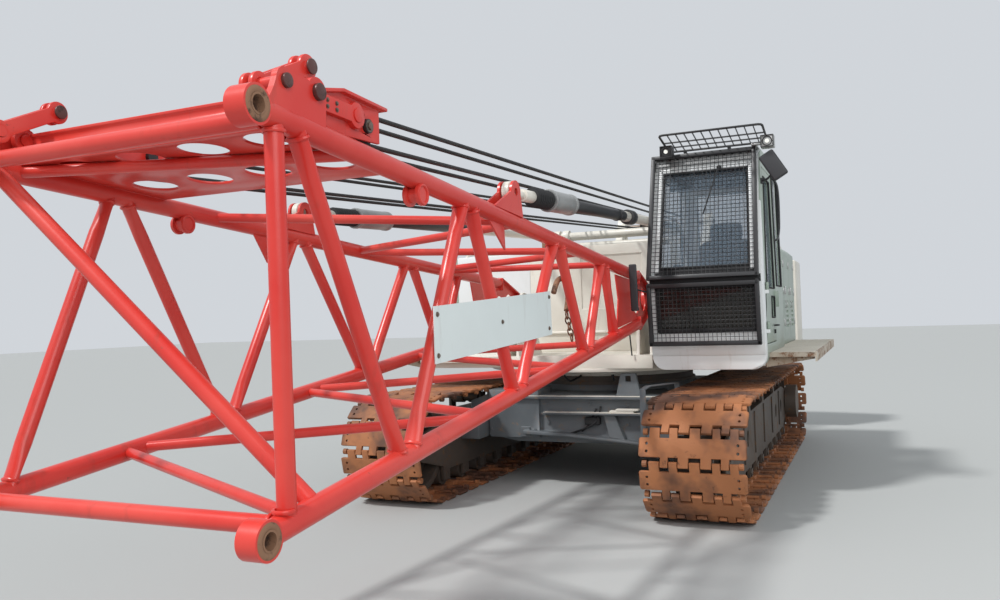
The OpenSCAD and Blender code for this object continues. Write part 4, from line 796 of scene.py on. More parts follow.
def addHose(name, points, radius, curved=True, sides=3):  # a round bar or hose through points
    data = bpy.data.curves.new(name, "CURVE")
    data.dimensions, data.bevel_depth, data.bevel_resolution, data.use_fill_caps = "3D", radius, sides, True
    data.resolution_u = 8
    line = data.splines.new("NURBS" if curved else "POLY")
    line.points.add(len(points) - 1)
    for place, point in zip(line.points, points):
        place.co = (*point, 1)
    if curved:
        line.use_endpoint_u, line.order_u = True, 3
    obj = bpy.data.objects.new(name, data)
    bpy.context.scene.collection.objects.link(obj)
    useOnly(obj)
    bpy.ops.object.convert(target="MESH")
    return bpy.context.object


def addHoses(rows, curved=True):  # rows of name, radius and points
    return [addHose(name, path(*points), radius, curved) for name, radius, *points in rows]


def addLoop(points, radius):  # a closed seal through points
    return addHose("seal", list(points) + [points[0], points[0].lerp(points[1], 0.15)], radius, False, 2)


def addBolt(place, way, radius=0.011, high=0.008):  # a hexagon head on its washer
    washer = addRod("washer", place, place + way * 0.003, radius * 1.45, 14)
    head = addRod("head", place + way * 0.003, place + way * (0.003 + high), radius, 6, 0.0012)
    return joinAll("bolt", [washer, head])


print("stage: boom feet")
footSettings = {
    "pin": (1.05, 1.66), "bore": 0.040, "boss": 0.105, "plateEnd": 1.4695, "webEnd": 2.06, "thick": 0.010,
    "half": 0.040, "holes": ((1.262, 1.657), (1.475, 1.640)), "holeRadius": 0.098, "flange": 0.014,
    "rise": 0.048, "plateIn": 0.045, "webIn": 0.049, "notch": 0.06, "flangeFrom": 0.018,
    "endPlateXs": (0.016, 0.002), "endPlateZs": (0.002, 0.115), "round": 0.003, "bossRound": 0.004,
}


def makeFeet(s, b):
    plates = []
    px, pz = s["pin"]
    bossEdge = [(px + s["boss"] * math.cos(a), pz + s["boss"] * math.sin(a))
                for a in [math.radians(d) for d in range(100, 261, 20)]]

    def edge(x, upper, lift):
        z = chordAt(b, x, 1, upper).z
        return x, z + (lift if upper else -lift)

    plateEnd, webEnd, plateIn, webIn = s["plateEnd"], s["webEnd"], s["plateIn"], s["webIn"]
    corner, base = edge(plateEnd, True, s["rise"]), edge(plateEnd, False, s["rise"])
    outline = bossEdge + [
        base, edge(plateEnd, False, -plateIn), edge(webEnd, False, -webIn), (webEnd - s["notch"], pz),
        edge(webEnd, True, -webIn), edge(plateEnd, True, -plateIn), corner]
    near, far = s["endPlateZs"]
    for hand in (1, -1):
        y = hand * b["footHalf"]

        def drill(x, z, radius):
            return addRod("drill", at(x, y - 0.1, z), at(x, y + 0.1, z), radius, 40)

        web = addPlate("web", [at(x, y - s["thick"] / 2, z) for x, z in outline], (0, s["thick"], 0))
        holes = [(px, pz, s["bore"])] + [(*hole, s["holeRadius"]) for hole in s["holes"]]
        plates.append(cutOut(web, [drill(*hole) for hole in holes]))
        ends = at(px, y - s["half"], pz), at(px, y + s["half"], pz)
        plates.append(cutOut(addRod("boss", *ends, s["boss"], 48, s["bossRound"]), [drill(px, pz, s["bore"])]))
        for sign, end in ((1, corner), (-1, base)):
            start = at(px + s["flangeFrom"], y, pz + sign * s["boss"]) - up * sign * s["flange"] / 2
            stop = at(end[0], y, end[1] - sign * s["flange"] / 2)
            plates.append(addBar("flange", start, stop, left, 2 * s["half"], s["flange"], s["round"]))
        back, front = [plateEnd - x for x in s["endPlateXs"]]
        for z0, z1 in ((base[1] + near, base[1] + far), (corner[1] - far, corner[1] - near)):
            low, high = at(back, y - s["half"], z0), at(front, y + s["half"], z1)
            plates.append(addBox("endPlate", low, high, s["round"]))
    return plates


footPlates = joinAll("footPlates", makeFeet(footSettings, boomSettings))
finish(footPlates, redPaint, "boom", ("foot_plates",))

print("stage: hoist ropes")
ropeSettings = {
    "gantry": (-2.5, 2.68), "boomEnd": (5.66, 2.31), "lead": 0.0603, "radius": 0.0105, "keep": 0.6358,
    "boomEndYs": (-0.650, -0.530, 0.530, 0.650), "gantryYs": (-0.300, -0.120, 0.120, 0.300),
    "turnRadius": 0.0098,
}


def makeRopes(s):
    runs, turns, gantryTurns = [], [], []
    (gantryX, gantryZ), (boomX, boomZ), lead = s["gantry"], s["boomEnd"], s["lead"]
    for boomY, gantryY in zip(s["boomEndYs"], s["gantryYs"]):
        for lift in (lead, -lead):
            start, end = at(gantryX, gantryY, gantryZ + lift), at(boomX, boomY, boomZ + lift)
            runs.append(addRod("rope", start, end, s["radius"], 14))
        turns.append(addRing("turn", at(boomX, boomY, boomZ), left, lead, s["turnRadius"], 32, 8))
        gantryTurns.append(addRing("turn", at(gantryX, gantryY, gantryZ), left, lead, s["turnRadius"], 32, 8))
    return runs, turns, gantryTurns


ropeRuns, ropeTurns, gantryTurns = makeRopes(ropeSettings)
hoistRopes = joinAll("hoistRopes", ropeRuns)
finish(hoistRopes, ropeSteel, "hoist_ropes", ("hoist_ropes",), 40)
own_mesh(hoistRopes)
finish(joinAll("ropeTurns", ropeTurns), ropeSteel, "boom", (), 60)
finish(joinAll("gantryRopeTurns", gantryTurns), ropeSteel, "upper", (), 60)

print("stage: equalizer, lugs and pendant links")
# pins and caps are given by x, z, the y they start and end at, and radius
headSettings = {
    "pins": ((6.078, 2.339, 0.768, 0.787, 0.030), (6.25, 2.338, 0.768, 0.783, 0.025),
             (5.99, 2.464, 0.681, 0.690, 0.029), (5.99, 2.464, 0.592, 0.601, 0.029)),
    "armCap": (5.759, 2.330, 0.720, 0.728, 0.028), "lugBoss": (6.078, 2.339, 0.7205, 0.7265, 0.047),
    "lug": (6.078, 2.339), "arm": (5.759, 2.330), "boltRuns": (0.30, 0.39, 0.57), "boltLift": 0.012,
    "boltY": 0.721, "sheave": (5.66, 2.31), "sheaveBoltY": 0.708,
}


def makeHeadPins(s):
    pins, caps, bolts = [], [], []
    lug, arm, lift = Vector(s["lug"]), Vector(s["arm"]), s["boltLift"]
    for hand in (1, -1):
        def disc(name, x, z, y0, y1, radius, sides, bevel=0.003):
            return addRod(name, at(x, hand * y0, z), at(x, hand * y1, z), radius, sides, bevel)

        pins += [disc("pin", *pin, 28) for pin in s["pins"]]
        caps += [disc("cap", *s["armCap"], 32), disc("boss", *s["lugBoss"], 32, 0.002)]
        for place in [lug.lerp(arm, run) for run in s["boltRuns"]]:
            for z in (place.y + lift, place.y - lift):
                bolts.append(addBolt(at(place.x, hand * s["boltY"], z), left * hand, 0.006, 0.004))
        x, z = s["sheave"]
        bolts.append(addBolt(at(x, hand * s["sheaveBoltY"], z), left * hand, 0.017, 0.008))
    return pins, caps, bolts


headPins, headCaps, headBolts = makeHeadPins(headSettings)
finish(joinAll("headPins", headPins), oiledPin, "boom")
finish(joinAll("headCaps", headCaps), redPaint, "boom")
finish(joinAll("headBolts", headBolts), pinSteel, "boom")
gussetSettings = {
    "corners": ((1, ((4.56, 2.055), (4.36, 2.045), (4.35, 1.90))),
                (-1, ((4.69, 2.065), (4.37, 2.04), (4.57, 1.90)))),
    "side": 0.6985, "thick": 0.012, "round": 0.002, "guideHalf": 0.037, "guideRadius": 0.040,
    "guideRound": 0.006,
    "guides": ((5.322, 0.7162, 2.077), (5.20, -0.7138, 2.068)),
}


def makeGussets(s):  # gussets at the chords, and the rims of the rope guides' bosses
    gussets = []
    for hand, corners in s["corners"]:
        outline = [at(x, hand * s["side"] - s["thick"] / 2, z) for x, z in corners]
        gussets.append(addPlate("gusset", outline, (0, s["thick"], 0), s["round"]))
    for x, y, z in s["guides"]:
        for out in (-s["guideHalf"], s["guideHalf"]):
            centre = at(x, y + out, z)
            gussets.append(addRing("guideRim", centre, left, s["guideRadius"], s["guideRound"], 28, 8))
    return gussets


finish(joinAll("boomGussets", makeGussets(gussetSettings)), redPaint, "boom")

print("stage: backstops")
# what is measured back from the eye or forward from the collar is given by its two ends and radius
stopSettings = {
    "pivot": (-0.3, 2.4), "eye": (4.26, 2.22), "side": 0.6948, "eyeHalf": 0.023, "eyeBore": 0.033,
    "eyeRings": ((0, 0.052), (0.006, 0.060), (0.040, 0.060), (0.046, 0.052)), "round": 0.004,
    "neck": (0.33, 0.052, 0.022), "stem": (0.33, 0.185, 0.035), "core": (0.59, 0.33, 0.050),
    "coils": 9, "coilFrom": 0.575, "coilPitch": 0.029, "coilRadius": 0.049, "coilWire": 0.009,
    "housings": ((0.98, 0.59, 0.066), (0.62, 0.59, 0.070), (0.995, 0.955, 0.069)),
    "collar": 2.066, "clip": 0.42, "tube": 0.042, "tubeEnd": 0.98, "clipRadius": 0.043,
    "clipRound": 0.005, "sleeves": ((0.12, 0.43, 0.040), (0, 0.125, 0.060)),
}


def makeStops(s):
    pivot, eye = Vector(s["pivot"]), Vector(s["eye"])
    length, line = (eye - pivot).length, (eye - pivot).normalized()
    along, clip = Vector((line.x, 0, line.y)), s["collar"] + s["clip"]
    eyes, springs, housings, tubes = [], [], [], []
    for hand in (1, -1):
        def spot(run):
            place = pivot + line * run
            return at(place.x, hand * s["side"], place.y)

        def piece(start, stop, radius):
            return addRod("stop", spot(start), spot(stop), radius, 32, s["round"])

        def back(start, stop, radius):
            return piece(length - start, length - stop, radius)

        middle = spot(length)
        ring = addShaped("eye", middle - left * s["eyeHalf"], middle + left * s["eyeHalf"],
                         [(run, radius, radius) for run, radius in s["eyeRings"]], 36)
        drill = addRod("drill", middle - left * 0.05, middle + left * 0.05, s["eyeBore"], 28)
        eyes.append(cutOut(ring, [drill]))
        eyes += [back(*s["neck"]), back(*s["stem"])]
        springs.append(back(*s["core"]))
        coils = [spot(length - s["coilFrom"] + i * s["coilPitch"]) for i in range(s["coils"])]
        springs += [addRing("coil", centre, along, s["coilRadius"], s["coilWire"], 24, 6) for centre in coils]
        housings += [back(*part) for part in s["housings"]]
        tubes.append(piece(clip, length - s["tubeEnd"], s["tube"]))
        tubes += [piece(s["collar"] + a, s["collar"] + b, radius) for a, b, radius in s["sleeves"]]
        tubes.append(addRing("clip", spot(clip), along, s["clipRadius"], s["clipRound"], 28, 8))
    return eyes, springs, housings, tubes


stopEyes, stopSprings, stopHousings, stopTubes = makeStops(stopSettings)
finish(joinAll("backstopTubes", stopTubes), blackPaint, "backstop_tubes", ("backstop_tubes",))
finish(joinAll("backstopHousings", stopHousings), springGrey, "backstop_tubes")
finish(joinAll("backstopSprings", stopSprings), rubberBlack, "backstop_tubes")
finish(joinAll("backstopEyes", stopEyes), creamPaint, "backstop_tubes")

print("stage: sign fixings and the hook behind it")
signSettings = {
    "bolts": ((5.23, 1.385), (5.23, 1.565), (3.79, 1.47), (3.78, 1.655), (4.50, 1.52)), "out": 0.0385,
}
hookSettings = {
    "side": 0.614, "thick": 0.018,
    "bend": ((3.40, 1.69), (3.36, 1.745), (3.29, 1.785), (3.20, 1.785), (3.135, 1.73), (3.13, 1.64),
             (3.17, 1.575)),
    "links": 5, "firstLink": (3.165, 1.545), "step": (0.020, 0.038), "linkRadius": 0.018, "linkWire": 0.0050,
    "stretch": 1.5, "lean": 0.48,
}


def makeHook(s):  # the hook and the links of chain under it, each turned a quarter from the last
    bits = [addHose("hook", [at(x, s["side"], z) for x, z in s["bend"]], s["thick"])]
    (x, z), (stepX, stepZ) = s["firstLink"], s["step"]
    for i in range(s["links"]):
        link = addRing("link", (0, 0, 0), (0, 0, 1), s["linkRadius"], s["linkWire"], 16, 6)
        link.data.transform(Matrix.Diagonal((1, s["stretch"], 1, 1)))
        link.data.transform(Matrix.Rotation(pi / 2, 4, "X"))
        place = Matrix.Translation(at(x - stepX * i, s["side"], z - i * stepZ))
        lean, quarter = Matrix.Rotation(s["lean"], 4, "Y"), Matrix.Rotation(pi / 2 * (i % 2), 4, "Z")
        link.data.transform(place @ lean @ quarter)
        bits.append(link)
    return bits


signBolts = [addBolt(at(x, chordAt(boomSettings, x, 1, True).y + signSettings["out"], z), left, 0.008, 0.005)
             for x, z in signSettings["bolts"]]
finish(joinAll("signBolts", signBolts), pinSteel, "boom")
finish(joinAll("hookAndChain", makeHook(hookSettings)), bareRust, "boom", (), 60)

print("stage: cab guard, seals and fittings")
cabSettings = {
    "low": (1.512, 1.260), "middle": (1.562, 1.800), "top": (1.2834, 2.884), "centreY": 1.197, "half": 0.452,
    "topHalf": 0.434, "tube": 0.034, "tubeRound": 0.005, "lap": 0.004, "mesh": 0.0335, "wire": 0.0026,
    "wireIn": 0.02, "rowIn": 0.012, "rowBack": 0.004, "panelGap": (0.025, (-0.004, 0.014)),
    "nose": (1.5, 1.8), "sill": (1.45, 1.29), "shieldTop": (1.23, 2.83), "sillFeet": (0.08, 0.92),
    "shieldFeet": (0.05, 0.95), "footGap": 0.0008, "footIn": 0.018, "footOut": 0.05, "footSize": (0.022, 0.05),
    "taper": 0.018, "window": 0.060, "cabY": 1.21, "cabHalf": 0.46, "trim": 0.030,
    "sealRadius": 0.013, "shield": (0.06, 0.93, 0.017), "lowerShield": (0.16, 0.90, 0),
}


def guardPanel(s, low, high, lowHalf, highHalf):
    a, b = Vector(low), Vector(high)
    length, line = (b - a).length, (b - a).normalized()
    slope, inward = Vector((line.x, 0, line.y)), Vector((-line.y, 0, line.x))
    tube, lap = s["tube"], s["lap"]

    def spot(run, across):
        place = a + line * run
        return at(place.x, s["centreY"] + across, place.y) + inward * tube / 2

    def bar(start, end, wideAlong):
        return addBar("bar", start, end, wideAlong, tube, tube, s["tubeRound"])

    bars = [bar(spot(0, side * (lowHalf - tube / 2)), spot(length, side * (highHalf - tube / 2)), left)
            for side in (1, -1)]
    bars += [bar(spot(run, lap - half), spot(run, half - lap), slope)
             for run, half in ((tube / 2, lowHalf), (length - tube / 2, highHalf))]
    ends = []
    columns, rows = int(2 * lowHalf / s["mesh"]), int(length / s["mesh"])
    for i in range(1, columns):
        t = 2 * i / columns - 1
        ends.append((spot(s["wireIn"], t * lowHalf), spot(length - s["wireIn"], t * highHalf)))
    for i in range(1, rows):
        run, back = length * i / rows, inward * s["rowBack"]
        half = lowHalf + (highHalf - lowHalf) * i / rows - s["rowIn"]
        ends.append((spot(run, -half) + back, spot(run, half) + back))
    return bars, [addRod("wire", start, end, s["wire"], 6) for start, end in ends]


def guardFoot(s, line, t, hand, half):
    place = Vector(line[0]).lerp(Vector(line[1]), t)
    skin = at(place.x + s["footGap"], s["centreY"] + hand * (half - s["footIn"]), place.y)
    return addBar("foot", skin, skin + ahead * s["footOut"], left, *s["footSize"], 0.003)


def makeGuard(s):
    low, middle, half = Vector(s["low"]), Vector(s["middle"]), s["half"]
    below, above = s["panelGap"]
    lowerBars, lowerWires = guardPanel(s, low, middle - (middle - low).normalized() * below, half, half)
    upperBars, upperWires = guardPanel(s, middle + Vector(above), s["top"], half, s["topHalf"])
    feet = []
    for hand in (1, -1):
        feet += [guardFoot(s, (s["sill"], s["nose"]), t, hand, half) for t in s["sillFeet"]]
        feet += [guardFoot(s, (s["nose"], s["shieldTop"]), t, hand, half - s["taper"] * t)
                 for t in s["shieldFeet"]]
    return lowerBars + upperBars + feet, lowerWires + upperWires


guardBars, guardWires = makeGuard(cabSettings)
finish(joinAll("guardFrames", guardBars), blackPaint, "upper", ("cab_guard",))
finish(joinAll("guardMesh", guardWires), blackPaint, "upper", (), 60)
sealSettings = {
    "rightWindow": ((0.13, 0.749, 1.70), (0.13, 0.763, 2.72), (1.10, 0.763, 2.72), (1.30, 0.749, 1.70)),
    "leftWindow": ((0.13, 1.671, 1.75), (0.13, 1.657, 2.73), (0.53, 1.657, 2.73), (0.53, 1.671, 1.75)),
    "rearWindow": ((-0.001, 0.90, 1.90), (-0.001, 1.52, 1.90), (-0.001, 1.52, 2.68), (-0.001, 0.90, 2.68)),
    "doorWindow": ((0.72, 1.671, 1.72), (0.72, 1.656, 2.65), (1.115, 1.656, 2.65), (1.25, 1.671, 1.85),
                   (1.25, 1.671, 1.72)),
    "doorPane": ((0.72, 1.671, 1.47), (0.94, 1.671, 1.47), (0.94, 1.671, 1.65), (0.72, 1.671, 1.65)),
    "noseStrip": ((1.503, 0.762, 1.797), (1.503, 1.658, 1.797)), "stripSize": (0.060, 0.012, 0.003),
    "windowRadius": 0.010, "lowerRadius": 0.020, "trimSize": (0.042, 0.008, 0.002), "trimIn": 0.009,
    "lowerSize": (0.086, 0.007, 0.002), "lowerBack": 0.004,
}


def makeSeals(s, loops):
    nose, sill, top = Vector(s["nose"]), Vector(s["sill"]), Vector(s["shieldTop"])
    y0, y1 = s["cabY"] - s["cabHalf"] + s["window"], s["cabY"] + s["cabHalf"] - s["window"]
    line = (top - nose).normalized()
    slope = Vector((line.x, 0, line.y))

    def pane(a, b, t0, t1, topIn, inset, out):  # corners of a windshield's opening, less an inset
        run = (b - a).length
        low, high = a.lerp(b, t0 + inset / run), a.lerp(b, t1 - inset / run)
        return path((low.x + out, y0 + inset, low.y), (low.x + out, y1 - inset, low.y),
                    (high.x + out, y1 - topIn - inset, high.y), (high.x + out, y0 + topIn + inset, high.y))

    corners = pane(nose, top, *s["shield"], loops["trimIn"], 0.003)
    trims = [addBar("trim", corners[i], corners[(i + 1) % 4], flat, *loops["trimSize"])
             for i, flat in ((1, left), (2, slope), (3, left))]
    inset = s["trim"] + s["sealRadius"] - 0.002
    seals = [addLoop(pane(nose, top, *s["shield"], inset, 0.001), s["sealRadius"]),
             addLoop(pane(sill, nose, *s["lowerShield"], 0.012, 0.002), loops["lowerRadius"])]
    low = [p - slope * loops["lowerBack"] for p in pane(nose, top, *s["shield"], 0.0, 0.002)[:2]]
    seals.append(addBar("lowerSeal", *low, slope, *loops["lowerSize"]))
    seals.append(addBar("noseStrip", *path(*loops["noseStrip"]), up, *loops["stripSize"]))
    windows = [path(*loops[name]) for name in ("rightWindow", "leftWindow", "rearWindow")]
    seals += [addLoop(window, loops["windowRadius"]) for window in windows]
    return seals, trims


windowSeals, windowTrims = makeSeals(cabSettings, sealSettings)
finish(joinAll("windowSeals", windowSeals), rubberBlack, "upper", (), 60)
finish(joinAll("windowTrims", windowTrims), cabPaint, "upper")
doorSeals = [addLoop(path(*sealSettings["doorWindow"]), 0.009), addLoop(path(*sealSettings["doorPane"]), 0.008)]
finish(joinAll("doorSeals", doorSeals), rubberBlack, "cab_door", (), 60)
handleSettings = {
    "hoses": (("handle", 0.007, (0.70, 1.672, 1.40), (0.70, 1.705, 1.40), (0.82, 1.705, 1.40),
               (0.82, 1.672, 1.40)),),
    "boxes": (("lock", (0.76, 1.668, 1.33), (0.80, 1.682, 1.365), 0.003),),
}
handle = addHoses(handleSettings["hoses"]) + addBoxes(handleSettings["boxes"])
finish(joinAll("doorHandle", handle), rubberBlack, "cab_door")

liningBoxes = (
    ("lining", (0.056, 0.8005, 1.245), (1.38, 0.8065, 1.68), 0),
    ("lining", (0.056, 1.6135, 1.245), (0.60, 1.6195, 1.68), 0),
    ("lining", (0.0505, 0.83, 1.245), (0.0565, 1.59, 1.88), 0),
    ("mat", (0.07, 0.81, 1.2405), (1.38, 1.61, 1.250), 0),
    ("ceiling", (0.10, 0.83, 2.815), (0.325, 1.59, 2.8295), 0),
    ("ceiling", (0.835, 0.83, 2.812), (1.10, 1.59, 2.8295), 0),
    ("visor", (1.02, 0.86, 2.60), (1.035, 1.56, 2.80), 0.004),
)
finish(joinAll("cabLining", addBoxes(liningBoxes)), plasticDark, "upper")
browSettings = {
    "corners": ((1.264, 0.79, 2.785), (1.264, 1.63, 2.785), (1.2405, 1.622, 2.876), (1.2405, 0.798, 2.876)),
    "depth": (0.004, 0, 0.001), "shadedHoles": 12, "firstShadedHole": (1.2515, 0.85, 2.846), "shadedHolePitch": 0.0655,
    "shadedHoleDepth": (0.0055, 0, 0.0015), "shadedHoleRadius": 0.0105,
}


def makeBrow(s):  # the strip above the windshield and the black discs in it, painted shade standing in for the dark insides of its holes
    strip = addPlate("brow", path(*s["corners"]), s["depth"])
    x, y, z = s["firstShadedHole"]
    holes = [at(x, y + i * s["shadedHolePitch"], z) for i in range(s["shadedHoles"])]
    return strip, [addRod("shadedHole", hole, hole + Vector(s["shadedHoleDepth"]), s["shadedHoleRadius"], 12) for hole in holes]


browStrip, browShadedHoles = makeBrow(browSettings)
finish(joinAll("browStrip", [browStrip]), galvanised, "upper")
# black discs on the brow: painted shade where its holes are
finish(joinAll("browShadedHoles", browShadedHoles), rubberBlack, "upper")
visorSettings = {
    "back": (1.16, 2.916), "front": (1.56, 2.995), "lift": 0.008, "y0": 0.885, "y1": 1.727, "columns": 12,
    "rows": (0.26, 0.54), "edge": 0.010, "bar": 0.012, "barThick": 0.006, "corner": 0.03,
    "footYs": (1.03, 1.40), "foot": ((1.075, 2.884), (1.17, 2.922)), "footWide": 0.030,
}


def makeVisor(s):
    back, front = Vector(s["back"]), Vector(s["front"])
    length, line = (front - back).length, (front - back).normalized()
    slope, thick = Vector((line.x, 0, line.y)), s["barThick"]

    def spot(run, y):
        place = back + line * run
        return at(place.x, y, place.y + s["lift"])

    c, e = s["corner"], s["edge"]
    y0, y1, far = s["y0"] + e, s["y1"] - e, length - e
    cut = 0.3 * c
    rim = [spot(e, y0), spot(far - c, y0), spot(far - cut, y0 + cut), spot(far, y0 + c),
           spot(far, y1 - c), spot(far - cut, y1 - cut), spot(far - c, y1), spot(e, y1)]
    bars = [addLoop(rim, e)]
    for y in [y0 + (y1 - y0) * i / s["columns"] for i in range(1, s["columns"])]:
        bars.append(addBar("bar", spot(e, y), spot(far, y), left, thick, s["bar"]))
    for run in [e + (far - e) * t for t in s["rows"]]:
        bars.append(addBar("bar", spot(run, y0), spot(run, y1), slope, thick, s["bar"]))
    (x0, z0), (x1, z1) = s["foot"]
    return bars + [addBar("foot", at(x0, y, z0), at(x1, y, z1), left, s["footWide"], thick, 0.001)
                   for y in s["footYs"]]


finish(joinAll("cabVisor", makeVisor(visorSettings)), blackPaint, "upper", ("cab_visor",))
lampSettings = {
    "ys": (0.919, 1.736), "x": 1.4085, "z": 2.89, "bulb": 0.017, "rimRadius": 0.036, "rimRound": 0.004,
    "halfY": 0.048, "halfZ": 0.046, "bulbOut": 0.006, "rimOut": 0.004, "bezel": (0.012, 0.007, 0.002),
    "cable": ((1.33, 0, 2.842), (1.28, 0, 2.86), (1.20, -0.02, 2.898)), "cableRadius": 0.005,
}
mirrorSettings = {
    # place, lean in degrees, its axis, the shell's corners and edge radius, the glass's corners
    "heads": (((1.385, 1.777, 2.69), 31, "X", (0.002, -0.064, -0.118), (0.040, 0.064, 0.118), 0.017,
               (0.0005, -0.054, -0.106), (0.004, 0.054, 0.106)),
              ((1.872, 0.702, 1.56), 5, "Y", (0.001, 0.001, 0.001), (0.025, 0.063, 0.374), 0.011,
               (-0.0008, 0.006, 0.012), (0.003, 0.058, 0.362))),
    "arms": (("arm", 0.009, (1.2515, 1.650, 2.595), (1.2515, 1.700, 2.597), (1.33, 1.745, 2.62),
              (1.395, 1.780, 2.645)),
             ("arm", 0.007, (1.38, 0.742, 1.71), (1.70, 0.735, 1.722), (1.888, 0.731, 1.739))),
    "feet": (("foot", (1.2325, 1.6555, 2.572), (1.2695, 1.670, 2.618), 0.003),
             ("clamp", (1.868, 0.722, 1.71), (1.90, 0.742, 1.77), 0.004)),
}


def makeLamps(s):
    glass, rims = [], []
    a, b, out = s["halfY"], s["halfZ"], s["rimOut"]
    corners = [Vector((out, y, z)) for y, z in ((-a, -b), (a, -b), (a, b), (-a, b))]
    for y in s["ys"]:
        face = at(s["x"], y, s["z"])
        glass.append(addRod("bulb", face, face + ahead * s["bulbOut"], s["bulb"], 20))
        rims.append(addRing("rim", face + ahead * out, ahead, s["rimRadius"], s["rimRound"], 28, 6))
        rims += [addBar("bezel", face + corners[i], face + corners[j], ahead, *s["bezel"])
                 for i, j in ((0, 1), (3, 2), (0, 3), (1, 2))]
        rims.append(addHose("cable", [at(x, y + dy, z) for x, dy, z in s["cable"]], s["cableRadius"]))
    return glass, rims


def makeMirrors(s):  # the two heads with their glass, and their arms
    shells, glass = [], []
    for place, lean, axis, low, high, bevel, glassLow, glassHigh in s["heads"]:
        turn = Matrix.Translation(at(*place)) @ Matrix.Rotation(math.radians(lean), 4, axis)
        shells.append(addBox("shell", low, high, bevel, 4))
        glass.append(addBox("pane", glassLow, glassHigh, 0.001))
        shells[-1].data.transform(turn)
        glass[-1].data.transform(turn)
    return shells + addHoses(s["arms"]) + addBoxes(s["feet"]), glass


mirrorShells, mirrorPanes = makeMirrors(mirrorSettings)
finish(joinAll("cabMirrors", mirrorShells), plasticDark, "upper", ("mirrors",))
mirrorSilver = plain("mirrorSilver", (0.75, 0.78, 0.80), 0.05, 1.0)
finish(joinAll("mirrorGlass", mirrorPanes), mirrorSilver, "upper")
lampGlass, lampRims = makeLamps(lampSettings)
finish(joinAll("lampBulbs", lampGlass), plain("lampLens", (0.9, 0.9, 0.82), 0.12, 0.0), "upper")
finish(joinAll("lampRims", lampRims), blackPaint, "upper")
railSettings = {
    "rail": (("rail", 0.010, (0.34, 1.67, 2.71), (0.34, 1.70, 2.70), (0.34, 1.70, 2.30), (0.48, 1.70, 2.19),
              (0.60, 1.70, 2.15), (0.60, 1.675, 2.15)),),
    "wiper": (("wiper", 0.006, (1.345, 1.33, 2.72), (1.36, 1.20, 2.35)),),
    "wiperMotor": ((1.25, 1.33, 2.74), (1.285, 1.33, 2.735)), "motorRadius": 0.02,
}
rails = addHoses(railSettings["rail"]) + addHoses(railSettings["wiper"], False)
rails.append(addRod("wiperMotor", *path(*railSettings["wiperMotor"]), railSettings["motorRadius"], 20, 0.003))
finish(joinAll("cabRails", rails), blackPaint, "upper")

print("stage: seat")
seatSettings = {
    # name, size, crown, place and lean
    "pads": (("seatPad", (0.48, 0.49, 0.15), 0.20, (0.56, 1.21, 1.545), 0),
             ("backPad", (0.13, 0.49, 0.60), 0.22, (0.335, 1.21, 1.90), -0.16),
             ("headPad", (0.09, 0.28, 0.18), 0.30, (0.274, 1.21, 2.275), -0.14)),
    "frame": (("stand", (0.35, 1.03, 1.2405), (0.70, 1.39, 1.40), 0.012),
              ("slide", (0.33, 0.99, 1.40), (0.78, 1.43, 1.475), 0.01),
              ("arm", (0.36, 0.93, 1.70), (0.66, 0.98, 1.74), 0.012),
              ("arm", (0.36, 1.44, 1.70), (0.66, 1.49, 1.74), 0.012)),
    "bars": (("armBar", 0.014, (0.42, 0.955, 1.46), (0.40, 0.955, 1.71)),
             ("armBar", 0.014, (0.42, 1.465, 1.46), (0.40, 1.465, 1.71)),
             ("post", 0.007, (0.285, 1.15, 2.15), (0.275, 1.15, 2.24)),
             ("post", 0.007, (0.285, 1.27, 2.15), (0.275, 1.27, 2.24))),
    "knobYs": (0.88, 1.54), "knobXs": (0.85, 0.93, 1.01), "knobZ": 1.94, "knobRadius": 0.024,
}


def makeCushion(name, size, crown, steps=5):  # a crowned closed pad round the origin
    clearAll()
    bpy.ops.mesh.primitive_cube_add(size=1)
    obj = newest(name)
    editAll()
    bpy.ops.mesh.subdivide(number_cuts=steps)
    bpy.ops.transform.tosphere(value=crown)
    leaveEdit()
    bpy.ops.object.modifier_add(type="SUBSURF")
    obj.modifiers[-1].levels = 1
    bpy.ops.object.modifier_apply(modifier=obj.modifiers[-1].name)
    obj.scale = size
    bakePlace(obj)
    return obj


def makeSeatFrame(s):
    frame = addBoxes(s["frame"]) + addHoses(s["bars"], False)
    for y in s["knobYs"]:
        for x in s["knobXs"]:
            clearAll()
            bpy.ops.mesh.primitive_uv_sphere_add(
                segments=16, ring_count=8, radius=s["knobRadius"], location=at(x, y, s["knobZ"]))
            knob = newest("knob")
            bakePlace(knob)
            frame.append(knob)
    return frame


for name, size, crown, place, lean in seatSettings["pads"]:
    pad = makeCushion(name, size, crown)
    pad.data.transform(Matrix.Translation(at(*place)) @ Matrix.Rotation(lean, 4, "Y"))
    finish(pad, seatCloth, "upper", ("cab_seat",) if name == "seatPad" else (), 80)
finish(joinAll("seatFrame", makeSeatFrame(seatSettings)), plasticDark, "upper")

print("stage: houses, catwalks and deck details")
houseSettings = {
    "ends": ((1, -0.04), (-1, 0.42)), "side": 1.621, "backX": -1.69, "endGap": 0.06, "doors": 3,
    "hingeZs": (1.40, 1.72, 2.00), "hingeIn": 0.03, "hingeHalf": 0.035, "hingeRadius": 0.010,
    "latchXs": (0.085, 0.055), "latchZs": (1.69, 1.77), "latchOut": 0.012, "pullX": 0.07, "pullOut": 0.022,
    "pullZs": (1.62, 1.55), "pullRadius": 0.005, "railY": 1.50, "railXs": (-1.70, 0.08), "railZs": (2.19, 2.26),
    "railRadius": 0.014, "ribs": 47, "ribStart": -1.72, "ribPitch": 0.0605, "ribLength": 0.022,
    "ribYs": (1.628, 2.012), "ribZ": 1.1805,
}


